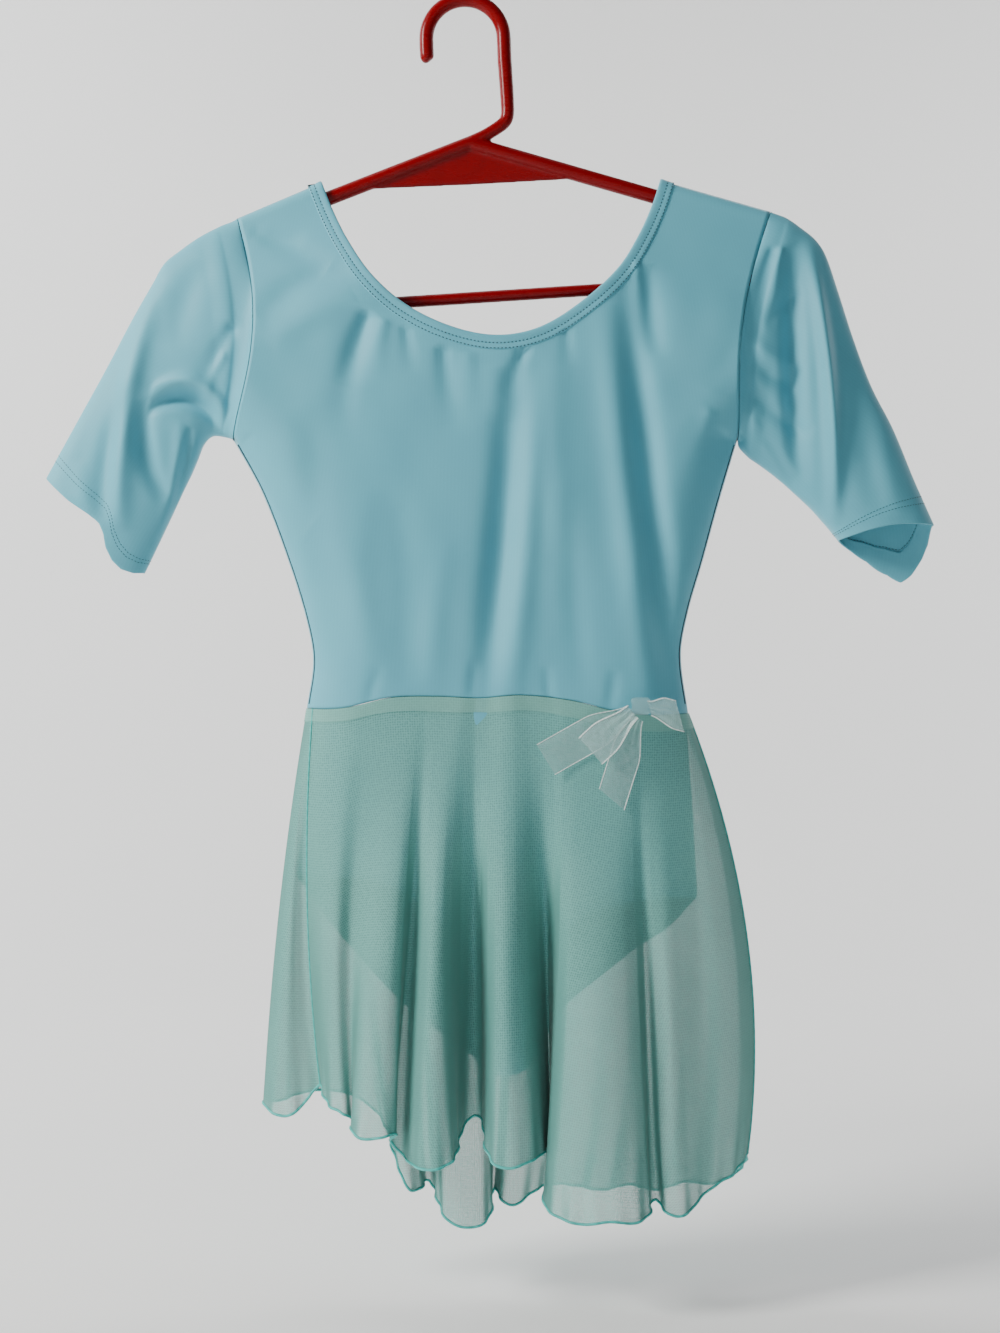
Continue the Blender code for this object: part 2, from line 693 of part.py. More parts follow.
def build_sleeve(name, rows, side):
    """A sleeve: rings of cloth from the armhole seam to the open cuff."""
    grid = []
    centres = []
    out = -1.0 if side == "left" else 1.0
    for k, (fold_x, fold_z, seam_x, seam_z, front, back, bow_front, bow_back) in enumerate(rows):
        fold, seam = Vector((fold_x, fold_z)), Vector((seam_x, seam_z))
        chord = seam - fold
        away = Vector((chord.y, -chord.x)).normalized() * (1.0 if side == "left" else -1.0)
        ring = []
        for way, depth, bow in ((-1.0, front, bow_front), (1.0, back, bow_back)):
            shares = ARMHOLE_SHARES[:-1] if way < 0 else list(reversed(ARMHOLE_SHARES))[:-1]
            for share in shares:
                place = fold + chord * share + away * (bow * math.sin(math.pi * share))
                y = way * depth * (4 * share * (1 - share)) ** SLEEVE_ROUNDNESS
                if k == 0:
                    place.x = armhole_x(side, place.y)
                    y = way * (front_depth if way < 0 else back_depth)(place.x, place.y)
                    place.x += out * SEAM_GAP * 1.5
                    y = 0.0 if share in (0.0, 1.0) else y
                ring.append(Vector((place.x, y, place.y)))
        grid.append(ring)
        centres.append(sum(ring, Vector()) / len(ring))

    def outward(place):
        return place - min(centres, key=lambda c: (c - place).length)

    normals = ring_normals(grid, outward)
    fold, seam = 0, len(ARMHOLE_SHARES) - 1
    normals[0] = [n if i in (fold, seam) else without_x(n) for i, n in enumerate(normals[0])]
    add_wall(name, "stretch_cloth", grid, normals, ring=True)


def build_briefs():
    """The leotard below the waist, front and back, from the waist seam to the leg openings."""
    across = eased(BRIEF_COLUMNS, 0.8)
    down = [k / BRIEF_ROWS for k in range(BRIEF_ROWS + 1)]
    for name, legs, full, way in (
        ("front_brief", FRONT_LEGS, FRONT_DEPTH, -1.0),
        ("back_brief", BACK_LEGS, BACK_DEPTH, 1.0),
    ):
        left_x, right_x = BRIEF_LEFT[0][0] + BRIEF_INSET, BRIEF_RIGHT[0][0] - BRIEF_INSET
        top = [Vector((mix(left_x, right_x, u), 0.0)) for u in across]
        for place in top:
            place.y = waist_level(place.x) - SEAM_GAP
        bottom = [through(legs, share) for share in across]
        bottom[0].x += BRIEF_INSET
        bottom[-1].x -= BRIEF_INSET
        left = []
        right = []
        for v in down:
            for line, side, corner, end in (
                (left, "left", top[0], bottom[0]),
                (right, "right", top[-1], bottom[-1]),
            ):
                height = mix(corner.y, end.y, v)
                inset = BRIEF_INSET if side == "left" else -BRIEF_INSET
                line.append(Vector((edge_x(side, height) + inset, height)))
        left[0], left[-1], right[0], right[-1] = top[0], bottom[0], top[-1], bottom[-1]
        flat = coons(top, left, bottom, right, across, down)
        grid = [
            [Vector((p.x, way * max(brief_depth(p.x, p.y, full), SEAM_GAP / 2), p.y)) for p in row]
            for row in flat
        ]

        def depth_here(x, z, full=full):
            return brief_depth(x, z, full)

        normals = [[depth_normal(place, depth_here) for place in row] for row in grid]
        add_wall(name, "stretch_cloth", grid, normals)


def skirt_lines(rows):
    """The waist, middle and hem curves of a skirt panel, as equal lists of points."""
    waist, middle, hem = [], [], []
    for side, waist_x, mid_x, hem_x, hem_y, hem_z in rows:
        height = waist_level(waist_x) - SEAM_GAP
        depth = back_depth(waist_x, height + SEAM_GAP)
        if side == "f":
            depth = -front_depth(waist_x, height + SEAM_GAP)
        waist.append(Vector((waist_x, depth, height)))
        middle.append(Vector((mid_x, 0.0, 0.0)))
        hem.append(Vector((hem_x, hem_y, hem_z)))
    lines = []
    for knots in (waist, middle, hem):
        line = []
        for k in range(len(rows) - 1):
            line += [hermite(knots, k, step / SKIRT_STEPS) for step in range(SKIRT_STEPS)]
        lines.append(line + [knots[-1]])
    return lines


def skirt_point(waist, middle, hem, v):
    """A point of the skirt a share v of the way down: folds grow from a smooth waist to the hem."""
    x = waist.x * (1 - v) * (1 - 2 * v) + middle.x * 4 * v * (1 - v) + hem.x * v * (2 * v - 1)
    y = mix(waist.y, hem.y, v**SKIRT_GROWTH)
    return Vector((x, y, mix(waist.z, hem.z, v)))


def build_skirt():
    """Both mesh panels, cut from one ring of cloth at the two side seams."""
    front, back = skirt_lines(SKIRT_FRONT), skirt_lines(SKIRT_BACK)
    grid = []
    for j in range(SKIRT_ROWS + 1):
        v = j / SKIRT_ROWS
        line = [skirt_point(a, b, c, v) for a, b, c in zip(*front)]
        line += [skirt_point(a, b, c, v) for a, b, c in zip(*back)][1:-1]
        grid.append(line)
    normals = ring_normals(grid, lambda p: p - Vector((20.0, 0.0, p.z)))
    seam = len(front[0]) - 1
    for name, first, last in (("skirt_front", 0, seam), ("skirt_back", seam, len(grid[0]))):
        places, ways = [], []
        for row, normal_row in zip(grid, normals):
            loop = row + row[:1]
            place = loop[first : last + 1]
            for end, beside in ((0, first + 1), (-1, last - 1)):
                step = loop[beside] - place[end]
                place[end] = place[end] + step.normalized() * (SEAM_GAP / 2)
            places.append(place)
            ways.append((normal_row + normal_row[:1])[first : last + 1])
        add_wall(name, "mesh_cloth", places, ways)


def ribbon_frame(root_x, root_z, far_x1, far_z1, far_x2, far_z2):
    """The root and far middle of a ribbon, its far half width and the direction across it."""
    root = Vector((root_x, root_z))
    corner, other = Vector((far_x1, far_z1)), Vector((far_x2, far_z2))
    return root, (corner + other) / 2, (corner - other) / 2


def ribbon_row(middle, across, depth, cup):
    """Three points across a ribbon, its middle lifted by cup."""
    row = [middle + across, middle, middle - across]
    return [Vector((place.x, depth + lift, place.y)) for place, lift in zip(row, (0.0, cup, 0.0))]


def build_bow():
    """The knot, two loops that stand open and two tails, of one flat ribbon."""
    for name, root_x, root_z, x1, z1, x2, z2, root_width, front_y, back_y in RIBBON_LOOPS:
        root, far, half = ribbon_frame(root_x, root_z, x1, z1, x2, z2)
        grid = []
        nose = abs(front_y - back_y) / 2 / (far - root).length
        for k in range(LOOP_STEPS + 1):
            turn = math.pi * k / LOOP_STEPS
            out = math.sin(turn) ** 0.6 if 0 < k < LOOP_STEPS else 0.0
            middle = root.lerp(far, out * (1 - nose))
            depth = mix(front_y, back_y, smooth(k / LOOP_STEPS))
            depth -= RIBBON_WAVE * math.cos(turn) * math.sin(turn)
            across = half * mix(root_width / 2 / half.length, 1.0, smooth(out * 1.4))
            grid.append(ribbon_row(middle, across, depth, -RIBBON_CUP * math.cos(turn)))
        centre = Vector(((root.x + far.x) / 2, (front_y + back_y) / 2, (root.y + far.y) / 2))
        add_wall(name, "organza_ribbon", grid, sheet_normals(grid, centre))
    for name, root_x, root_z, x1, z1, x2, z2, root_width, root_y, far_y in RIBBON_TAILS:
        root, far, half = ribbon_frame(root_x, root_z, x1, z1, x2, z2)
        grid = []
        for k in range(TAIL_STEPS + 1):
            share = k / TAIL_STEPS
            depth = mix(root_y, far_y, share) - RIBBON_WAVE * math.sin(2 * math.pi * share) * share
            across = half * mix(root_width / 2 / half.length, 1.0, smooth(share * 2.2))
            grid.append(ribbon_row(root.lerp(far, share), across, depth, -RIBBON_CUP * share))
        behind = grid[0][1] + Vector((0.0, 100.0, 0.0))
        add_wall(name, "organza_ribbon", grid, sheet_normals(grid, behind))
    knot = bmesh.new()
    bmesh.ops.create_cube(knot, size=1.0)
    bmesh.ops.scale(knot, verts=knot.verts, vec=Vector(KNOT_SIZE) * MM)
    bmesh.ops.translate(knot, verts=knot.verts, vec=Vector(KNOT) * MM)
    bmesh.ops.bevel(knot, geom=knot.edges, offset=KNOT_ROUND * MM, segments=3, profile=0.5, affect="EDGES")
    finish_object("bow_knot", "organza_ribbon", knot)


def arm_level(side, x):
    rise = LEFT_ARM_RISE if side == "left" else RIGHT_ARM_RISE
    return APEX[1] + rise * (x - APEX[0])


def bar_level(x):
    return BAR_LEVEL + BAR_RISE * x


def end_turn(side, x, steps):
    """The round end that joins an arm to the lower bar: points from the arm down to the bar."""
    rise = LEFT_ARM_RISE if side == "left" else RIGHT_ARM_RISE
    arm_lean, bar_lean = math.hypot(1, rise), math.hypot(1, BAR_RISE)
    radius = (arm_level(side, x) - bar_level(x)) / (arm_lean + bar_lean)
    centre = Vector((x, arm_level(side, x) - radius * arm_lean))
    start = math.atan2(1, -rise)
    end = math.atan2(-1, BAR_RISE)
    if side == "left":
        end += 2 * math.pi
    points = []
    for k in range(steps + 1):
        angle = mix(start, end, k / steps)
        points.append(centre + Vector((math.cos(angle), math.sin(angle))) * radius)
    return points


def rod(name, points, radii, closed=False, sides=3):
    """A round rod along (x, z) points in the hanger's plane, as a mesh object."""
    curve = bpy.data.curves.new(name, "CURVE")
    curve.dimensions = "3D"
    curve.bevel_depth = MM
    curve.bevel_resolution = sides
    curve.use_fill_caps = True
    line = curve.splines.new("POLY")
    line.points.add(len(points) - 1)
    line.use_cyclic_u = closed
    for knot, place, radius in zip(line.points, points, radii):
        knot.co = (place[0] * MM, 0.0, place[1] * MM, 1.0)
        knot.radius = radius
    drawn = bpy.data.objects.new(name, curve)
    bpy.context.scene.collection.objects.link(drawn)
    graph = bpy.context.evaluated_depsgraph_get()
    data = bpy.data.meshes.new_from_object(drawn.evaluated_get(graph))
    bpy.data.objects.remove(drawn, do_unlink=True)
    work = bmesh.new()
    work.from_mesh(data)
    bmesh.ops.remove_doubles(work, verts=work.verts, dist=WELD * MM)
    bmesh.ops.recalc_face_normals(work, faces=work.faces)
    return finish_object(name, "red_moulded_plastic", work)


def build_hanger():
    """Hook, arms, lower bar and the plate under the apex, moulded in one."""
    left = end_turn("left", LEFT_TURN_X, TURN_STEPS)
    right = end_turn("right", RIGHT_TURN_X, TURN_STEPS)
    arms = [Vector(APEX)] + left + list(reversed(right))
    taper = [mix(ARM_ROD, BAR_ROD, smooth(k / TURN_STEPS)) for k in range(TURN_STEPS + 1)]
    frame = rod("hanger", arms, [ARM_ROD] + taper + list(reversed(taper)), closed=True)

    hook = [Vector(place) for place in HOOK_TIP]
    centre = Vector((0.0, HOOK_ROD - HOOK_BEND))
    for k in range(HOOK_STEPS + 1):
        angle = math.pi * (1 - k / HOOK_STEPS)
        hook.append(centre + Vector((math.cos(angle), math.sin(angle))) * HOOK_BEND)
    hook += [Vector(place) for place in HOOK_LIMB]
    sizes = [HOOK_ROD * share for share in TIP_SHARES]
    sizes += [HOOK_ROD] * (len(hook) - len(sizes) - 1) + [HOOK_ROOT_ROD]
    hook_rod = rod("hook_rod", hook, sizes)

    plate = bmesh.new()
    half = PLATE_WALL / 2
    near = [plate.verts.new(Vector((x, -half, z)) * MM) for x, z in PLATE]
    far = [plate.verts.new(Vector((x, half, z)) * MM) for x, z in PLATE]
    plate.faces.new(near)
    plate.faces.new(list(reversed(far)))
    for k in range(len(PLATE)):
        after = (k + 1) % len(PLATE)
        plate.faces.new((near[k], far[k], far[after], near[after]))
    bmesh.ops.recalc_face_normals(plate, faces=plate.faces)
    web = finish_object("web_plate", "red_moulded_plastic", plate)

    for tool in (hook_rod, web):
        tool.hide_render = True
        tool.display_type = "WIRE"
        join = frame.modifiers.new("join_" + tool.name, "BOOLEAN")
        join.operation = "UNION"
        join.solver = "EXACT"
        join.object = tool


def main():
    clear_scene()
    build_bodice()
    build_neck_band()
    build_sleeve("left_sleeve", LEFT_SLEEVE, "left")
    build_sleeve("right_sleeve", RIGHT_SLEEVE, "right")
    build_briefs()
    build_skirt()
    build_bow()
    build_hanger()


main()
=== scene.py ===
"""A child's ballet dress on a tubular hanger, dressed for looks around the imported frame.

Every sheet of cloth is drawn from the maker's sizes in millimetres, on the form of its solid. The front
faces -Y, left and right are the viewer's, and the origin is the inside of the hook's top.
"""

import logging
import math
from dataclasses import dataclass, field
from enum import Enum
from typing import Callable, Sequence

import bpy
import numpy as np
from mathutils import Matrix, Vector


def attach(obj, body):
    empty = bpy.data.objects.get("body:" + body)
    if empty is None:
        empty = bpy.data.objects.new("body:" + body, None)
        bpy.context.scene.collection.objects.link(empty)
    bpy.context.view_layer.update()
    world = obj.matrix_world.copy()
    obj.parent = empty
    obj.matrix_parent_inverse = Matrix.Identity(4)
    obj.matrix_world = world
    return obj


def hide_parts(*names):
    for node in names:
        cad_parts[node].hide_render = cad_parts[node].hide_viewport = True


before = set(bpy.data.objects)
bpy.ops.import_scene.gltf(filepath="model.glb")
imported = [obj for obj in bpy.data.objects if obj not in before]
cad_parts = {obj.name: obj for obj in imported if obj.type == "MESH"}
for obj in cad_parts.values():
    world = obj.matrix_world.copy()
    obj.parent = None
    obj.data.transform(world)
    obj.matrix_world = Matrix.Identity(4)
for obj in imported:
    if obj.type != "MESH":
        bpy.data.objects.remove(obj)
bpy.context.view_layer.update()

logging.basicConfig(level=logging.INFO, format="%(name)s: %(message)s")
LOG = logging.getLogger("ballet_dress")

MM = 0.001

Grid = np.ndarray
Links = dict[str, object]
Finish = bpy.types.Material
Input = bpy.types.NodeSocket | float | tuple


# Cloth sizes shared by the panels
SEAM_GAP = 0.3
WAIST_GAP = 0.3
FRONT_DEPTH = 23.0
BACK_DEPTH = 15.0
ARMHOLE_SHARES = (0.0, 0.013, 0.044, 0.10, 0.21, 0.35, 0.50, 0.65, 0.80, 0.92, 0.98, 1.0)

# Shoulder line, underarms and side seams, as x and z
NOTCH_LEFT = (-140.7, -130.9)
NOTCH_RIGHT = (189.1, -126.9)
NECK_LEFT = (-88.7, -108.8)
NECK_RIGHT = (120.9, -107.5)
UNDERARM_LEFT = (-143.2, -269.1)
UNDERARM_RIGHT = (168.6, -269.1)
SIDE_LEFT = (
    (-143.2, -269.1),
    (-125.9, -300.7),
    (-109.7, -342.9),
    (-98.6, -378.8),
    (-94.2, -404.9),
    (-98.0, -434.6),
)
SIDE_RIGHT = (
    (168.6, -269.1),
    (156.9, -308.8),
    (147.6, -342.9),
    (138.3, -375.1),
    (133.9, -401.8),
    (138.3, -437.7),
)
BRIEF_LEFT = ((-98.0, -434.6), (-100.2, -485.0), (-104.5, -538.8))
BRIEF_RIGHT = ((138.3, -437.7), (142.0, -491.7), (144.6, -551.2))
WAIST = (
    (-98.0, -434.6),
    (-74.9, -434.3),
    (-45.3, -427.8),
    (-16.6, -427.0),
    (9.5, -428.0),
    (33.9, -426.2),
    (64.3, -429.3),
    (90.0, -435.5),
    (112.0, -438.3),
    (138.3, -437.7),
)
FRONT_NECK = (
    (-88.7, -108.8),
    (-81.8, -126.4),
    (-71.5, -147.3),
    (-56.6, -169.5),
    (-36.3, -187.6),
    (-8.8, -201.2),
    (19.9, -206.8),
    (46.1, -201.8),
    (73.6, -184.6),
    (93.8, -165.3),
    (106.3, -144.9),
    (115.4, -124.5),
    (120.9, -107.5),
)
BACK_NECK = (
    (-88.7, -108.8),
    (-85.5, -130.0),
    (-77.0, -165.0),
    (-60.0, -202.0),
    (-30.0, -232.0),
    (18.0, -246.0),
    (64.0, -233.0),
    (93.0, -202.0),
    (109.0, -165.0),
    (117.5, -130.0),
    (120.9, -107.5),
)
FRONT_LEGS = (
    (-104.5, -538.8),
    (-76.3, -538.4),
    (-48.6, -541.9),
    (-21.2, -560.0),
    (-1.0, -582.8),
    (9.0, -616.8),
    (12.0, -645.0),
    (14.0, -660.0),
    (36.0, -660.0),
    (38.0, -645.0),
    (43.2, -607.6),
    (56.0, -579.6),
    (73.7, -561.6),
    (101.2, -554.1),
    (122.7, -551.3),
    (144.6, -551.2),
)
BACK_LEGS = (
    (-104.5, -538.8),
    (-84.8, -567.8),
    (-66.0, -589.7),
    (-41.0, -616.6),
    (-15.8, -636.4),
    (3.0, -650.0),
    (14.0, -660.0),
    (36.0, -660.0),
    (45.4, -648.0),
    (62.4, -620.7),
    (84.4, -602.2),
    (105.7, -585.3),
    (127.0, -570.9),
    (144.6, -551.2),
)

# Large folds of the solid: x_top, z_top, x_end, z_end, height, half_width
FRONT_FOLDS = (
    (116.0, -165.0, 117.0, -235.0, -1.6, 9.0),
    (-61.0, -190.0, -72.0, -238.0, -1.8, 10.0),
    (18.0, -224.0, 22.0, -260.0, 1.4, 8.0),
    (58.0, -215.0, 66.0, -390.0, 1.5, 13.0),
    (-132.0, -292.0, -96.0, -325.0, -1.8, 11.0),
    (-124.0, -142.0, -84.0, -166.0, -1.6, 9.0),
)
BACK_FOLDS = (
    (-96.0, -215.0, -70.0, -400.0, 1.6, 12.0),
    (20.0, -260.0, 16.0, -410.0, -1.5, 13.0),
    (118.0, -225.0, 104.0, -405.0, 1.6, 12.0),
)

# Sleeve sections: fold_x, fold_z, seam_x, seam_z, front, back, bow_front, bow_back
LEFT_SLEEVE = (
    (-140.7, -130.9, -143.2, -269.1, 0.0, 0.0, -13.0, -13.0),
    (-152.0, -136.4, -150.0, -266.6, 16.0, 12.5, -10.0, -10.0),
    (-164.5, -143.0, -156.5, -266.4, 16.0, 13.0, -6.0, -6.0),
    (-176.8, -151.6, -161.8, -271.5, 15.5, 13.0, -3.0, -3.0),
    (-186.2, -159.4, -165.6, -281.0, 15.0, 11.5, -1.0, -1.0),
    (-193.0, -171.2, -169.2, -289.5, 14.5, 11.0, 0.0, 0.0),
    (-206.0, -194.0, -174.8, -301.0, 14.0, 11.0, 0.0, 0.0),
    (-221.5, -223.5, -181.5, -315.5, 14.0, 11.0, 0.0, 0.0),
    (-236.0, -249.8, -188.0, -329.3, 14.0, 10.5, 1.0, -1.0),
    (-248.8, -273.0, -193.6, -341.0, 13.5, 10.5, 2.5, -1.5),
    (-259.2, -292.0, -198.4, -350.9, 13.0, 10.0, 3.5, -2.0),
)
RIGHT_SLEEVE = (
    (189.1, -126.9, 168.6, -269.1, 0.0, 0.0, -9.0, -9.0),
    (199.0, -131.0, 174.6, -278.4, 16.0, 12.5, -7.0, -7.0),
    (209.4, -138.2, 182.0, -283.8, 16.0, 12.5, -4.0, -4.0),
    (217.4, -145.0, 189.5, -289.3, 16.0, 12.5, -2.0, -2.0),
    (223.4, -154.4, 196.8, -295.2, 16.0, 12.5, 0.0, 0.0),
    (230.2, -174.2, 203.4, -301.1, 16.0, 13.0, 0.0, 0.0),
    (240.8, -207.0, 209.5, -306.7, 16.5, 13.5, 0.0, 2.0),
    (251.8, -236.0, 215.4, -312.4, 17.0, 14.5, 0.0, 5.0),
    (265.0, -262.0, 221.0, -318.6, 17.5, 15.5, -1.0, 9.5),
    (278.2, -294.0, 226.4, -324.7, 18.0, 16.5, -2.5, 16.0),
    (290.2, -321.2, 231.3, -330.5, 18.5, 17.5, -4.0, 24.0),
)

# Skirt ridges and valleys: before the hanger (1) or behind it (0), waist_x, mid_x, hem_x, hem_y, hem_z
SKIRT_FRONT = (
    (1, -93.5, -97, -89, -10, -666),
    (1, -84, -87, -83, -24, -675),
    (1, -70, -77, -74, -33, -679),
    (1, -54, -68, -67, -29, -684),
    (1, -44, -57, -68, -40, -687),
    (1, -38, -49, -61, -48, -691),
    (1, -32, -41, -50, -50, -690),
    (1, -27, -36, -41, -44, -689),
    (1, -24, -33, -44, -33, -696),
    (1, -21, -30, -38, -33, -703),
    (1, -17, -25, -31, -45, -707),
    (1, -11, -19, -21, -55, -708),
    (1, -6, -13, -11, -54, -706),
    (1, -2, -8, -5, -44, -702),
    (1, 1, -2, -2, -28, -692),
    (1, 6, 5, 5, -17, -684),
    (1, 10, 10, 11, -23, -686),
    (1, 14, 14, 13, -37, -698),
    (1, 18, 19, 18, -47, -706),
    (1, 23, 25, 27, -51, -708),
    (1, 29, 32, 37, -47, -706),
    (1, 34, 38, 45, -38, -704),
    (1, 39, 44, 51, -25, -702),
    (1, 46, 50, 53, -16, -707),
    (1, 54, 54, 50, -26, -720),
    (1, 60, 57, 48, -40, -731),
    (1, 67, 63, 55, -52, -736),
    (1, 77, 73, 70, -60, -739),
    (1, 87, 85, 87, -62, -737),
    (1, 95, 96, 102, -57, -739),
    (1, 101, 104, 111, -47, -736),
    (1, 106, 109, 115, -36, -730),
    (1, 112, 115, 120, -42, -735),
    (1, 118, 123, 128, -46, -738),
    (1, 123, 132, 136, -40, -736),
    (1, 128, 143, 144, -32, -729),
    (1, 132, 154, 153, -29, -723),
    (1, 136, 165, 164, -22, -718),
    (1, 138.3, 174, 175, -6, -709),
)
SKIRT_BACK = (
    (0, 138.3, 174, 175, -6, -709),
    (0, 136, 172, 171, 12, -724),
    (0, 129, 160, 155, 11, -732),
    (0, 119, 147, 138, 23, -734),
    (0, 107, 131, 120, 12, -736),
    (0, 94, 115, 103, 24, -736),
    (0, 82, 98, 85, 11, -736),
    (0, 69, 81, 68, 23, -736),
    (0, 57, 66, 52, 21, -735),
    (0, 47, 53, 40, 11, -739),
    (0, 38, 42, 30, 4, -744),
    (0, 28, 31, 22, 9, -741),
    (0, 20, 22, 18, 20, -738),
    (0, 12, 13, 16, 10, -750),
    (0, 4, 5, 10, 3, -756),
    (0, -5, -5, -2, 2, -757),
    (0, -13, -14, -12, 4, -752),
    (0, -21, -23, -18, 13, -741),
    (0, -27, -30, -23, 22, -733),
    (0, -35, -38, -28, 10, -735),
    (0, -42, -46, -35, 4, -734),
    (0, -50, -56, -43, 8, -717),
    (0, -57, -66, -52, 18, -694),
    (0, -67, -78, -67, 22, -681),
    (0, -78, -90, -84, 12, -674),
    (0, -88, -101, -102, 21, -677),
    (0, -95.5, -110, -117, 14, -681),
    (0, -98.0, -115, -125, 3, -679),
    (1, -97.6, -112, -120, -7, -683),
    (1, -96.8, -107, -110, -13, -685),
    (1, -95.9, -103, -101, -11, -680),
    (1, -94.8, -100, -94, -9, -671),
    (1, -93.5, -97, -89, -10, -666),
)


class Side(Enum):
    """The dress's two sides, as the viewer names them."""

    LEFT = -1
    RIGHT = 1


class Face(Enum):
    """The dress's two faces, by the way each looks along Y."""

    FRONT = -1
    BACK = 1


class Run(Enum):
    """How a fold starts and ends."""

    EVEN = "fades to both ends"
    FALLING = "starts at once and fades and widens down its run"


@dataclass(frozen=True)
class Fold:
    """A soft trough or ridge across a panel, seen from the front.

    Attributes:
        start: Its upper end, x and z.
        end: Its lower end, x and z.
        height: How far it stands out, or in where it is below zero.
        half_width: Its half width.
        bend: How far the middle of its run bows to the side.
        run: How it starts and ends.
    """

    start: tuple[float, float]
    end: tuple[float, float]
    height: float
    half_width: float
    bend: float = 0.0
    run: Run = Run.EVEN

    def field(self, x: Grid, z: Grid) -> Grid:
        """Work out how far this fold pushes the cloth out.

        Args:
            x: Where the points are, across.
            z: Where the points are, up.

        Returns:
            The height at each point.
        """
        run_x, run_z = self.end[0] - self.start[0], self.end[1] - self.start[1]
        length = math.hypot(run_x, run_z)
        gone_x, gone_z = x - self.start[0], z - self.start[1]
        along = np.clip((gone_x * run_x + gone_z * run_z) / length**2, 0.0, 1.0)
        off = (gone_x * run_z - gone_z * run_x) / length - self.bend * 4 * along * (1 - along)
        if self.run is Run.EVEN:
            shape, width = np.sin(np.pi * along) ** 0.7, self.half_width
        else:
            shape = smooth(along / 0.08) * (1 - along) ** 0.8
            width = self.half_width * (0.55 + 0.9 * along)
        return self.height * shape * np.exp(-((off / width) ** 2))


# Small creases that only the cloth's own sheet shows
FRONT_CREASES = (
    Fold((-58.0, -190.0), (-76.0, -268.0), -3.4, 7.0, 3.0, Run.FALLING),
    Fold((-48.0, -196.0), (-54.0, -236.0), 1.5, 5.0, 2.0, Run.FALLING),
    Fold((-36.0, -201.0), (-32.0, -232.0), -1.8, 4.0, 0.0, Run.FALLING),
    Fold((-13.0, -212.0), (-3.0, -266.0), -2.6, 6.0, 2.0, Run.FALLING),
    Fold((2.0, -216.0), (4.0, -250.0), 1.3, 5.0, 0.0, Run.FALLING),
    Fold((37.0, -214.0), (27.0, -246.0), -3.4, 4.5, 1.0, Run.FALLING),
    Fold((30.0, -226.0), (11.0, -437.0), -6.6, 9.0, -2.0),
    Fold((44.0, -228.0), (27.0, -436.0), 3.0, 8.0, -2.0),
    Fold((62.0, -202.0), (64.0, -228.0), -1.7, 3.5, 0.0, Run.FALLING),
    Fold((54.0, -212.0), (56.0, -340.0), 1.5, 8.0, 1.0),
    Fold((98.0, -172.0), (130.0, -437.0), -7.4, 8.0, 0.0),
    Fold((84.0, -186.0), (113.0, -434.0), 3.0, 8.0, 1.0),
    Fold((112.0, -164.0), (118.0, -220.0), -2.6, 6.0, 2.0),
    Fold((105.0, -160.0), (110.0, -200.0), 1.4, 4.0, 1.0, Run.FALLING),
    Fold((-132.0, -139.0), (-98.0, -147.0), -2.0, 5.0, 3.0, Run.FALLING),
    Fold((-126.0, -196.0), (-70.0, -166.0), -2.4, 9.0, -6.0),
    Fold((-118.0, -214.0), (-66.0, -184.0), 1.2, 8.0, -5.0),
    Fold((-138.0, -268.0), (-100.0, -316.0), -3.0, 8.0, 4.0, Run.FALLING),
    Fold((-128.0, -286.0), (-104.0, -330.0), 1.2, 6.0, 3.0, Run.FALLING),
    Fold((-92.0, -250.0), (-78.0, -400.0), -1.9, 12.0, 6.0),
    Fold((-62.0, -300.0), (-58.0, -420.0), 1.4, 11.0, 4.0),
    Fold((-40.0, -300.0), (-36.0, -425.0), -1.0, 9.0, -3.0),
    Fold((-12.0, -330.0), (-20.0, -432.0), 1.2, 8.0, 2.0),
    Fold((66.0, -300.0), (74.0, -428.0), -1.5, 8.0, 3.0),
    Fold((160.0, -262.0), (136.0, -330.0), -2.4, 7.0, -3.0, Run.FALLING),
    Fold((150.0, -250.0), (128.0, -300.0), 1.2, 7.0, -3.0, Run.FALLING),
    Fold((178.0, -170.0), (150.0, -240.0), -1.6, 12.0, -6.0),
    Fold((-60.0, -437.0), (-52.0, -408.0), -0.9, 4.0),
    Fold((4.0, -432.0), (6.0, -404.0), -0.9, 3.5),
    Fold((52.0, -432.0), (50.0, -408.0), -0.9, 3.5),
    Fold((88.0, -437.0), (92.0, -410.0), -1.0, 4.0),
)
BACK_CREASES = (
    Fold((-60.0, -220.0), (-52.0, -300.0), -2.4, 7.0, -3.0, Run.FALLING),
    Fold((-8.0, -250.0), (0.0, -320.0), -2.0, 6.0, 2.0, Run.FALLING),
    Fold((46.0, -248.0), (40.0, -312.0), -2.4, 5.5, -2.0, Run.FALLING),
    Fold((98.0, -204.0), (92.0, -300.0), -2.6, 7.0, 3.0, Run.FALLING),
    Fold((-104.0, -300.0), (-72.0, -430.0), -2.6, 10.0, 6.0),
    Fold((60.0, -300.0), (72.0, -434.0), 2.0, 11.0, -4.0),
    Fold((150.0, -268.0), (112.0, -320.0), -2.6, 8.0, 3.0, Run.FALLING),
    Fold((-134.0, -272.0), (-96.0, -330.0), -2.4, 8.0, -3.0, Run.FALLING),
    Fold((-20.0, -320.0), (-24.0, -434.0), -2.2, 8.0, 2.0),
    Fold((104.0, -434.0), (100.0, -404.0), -1.0, 5.0),
)
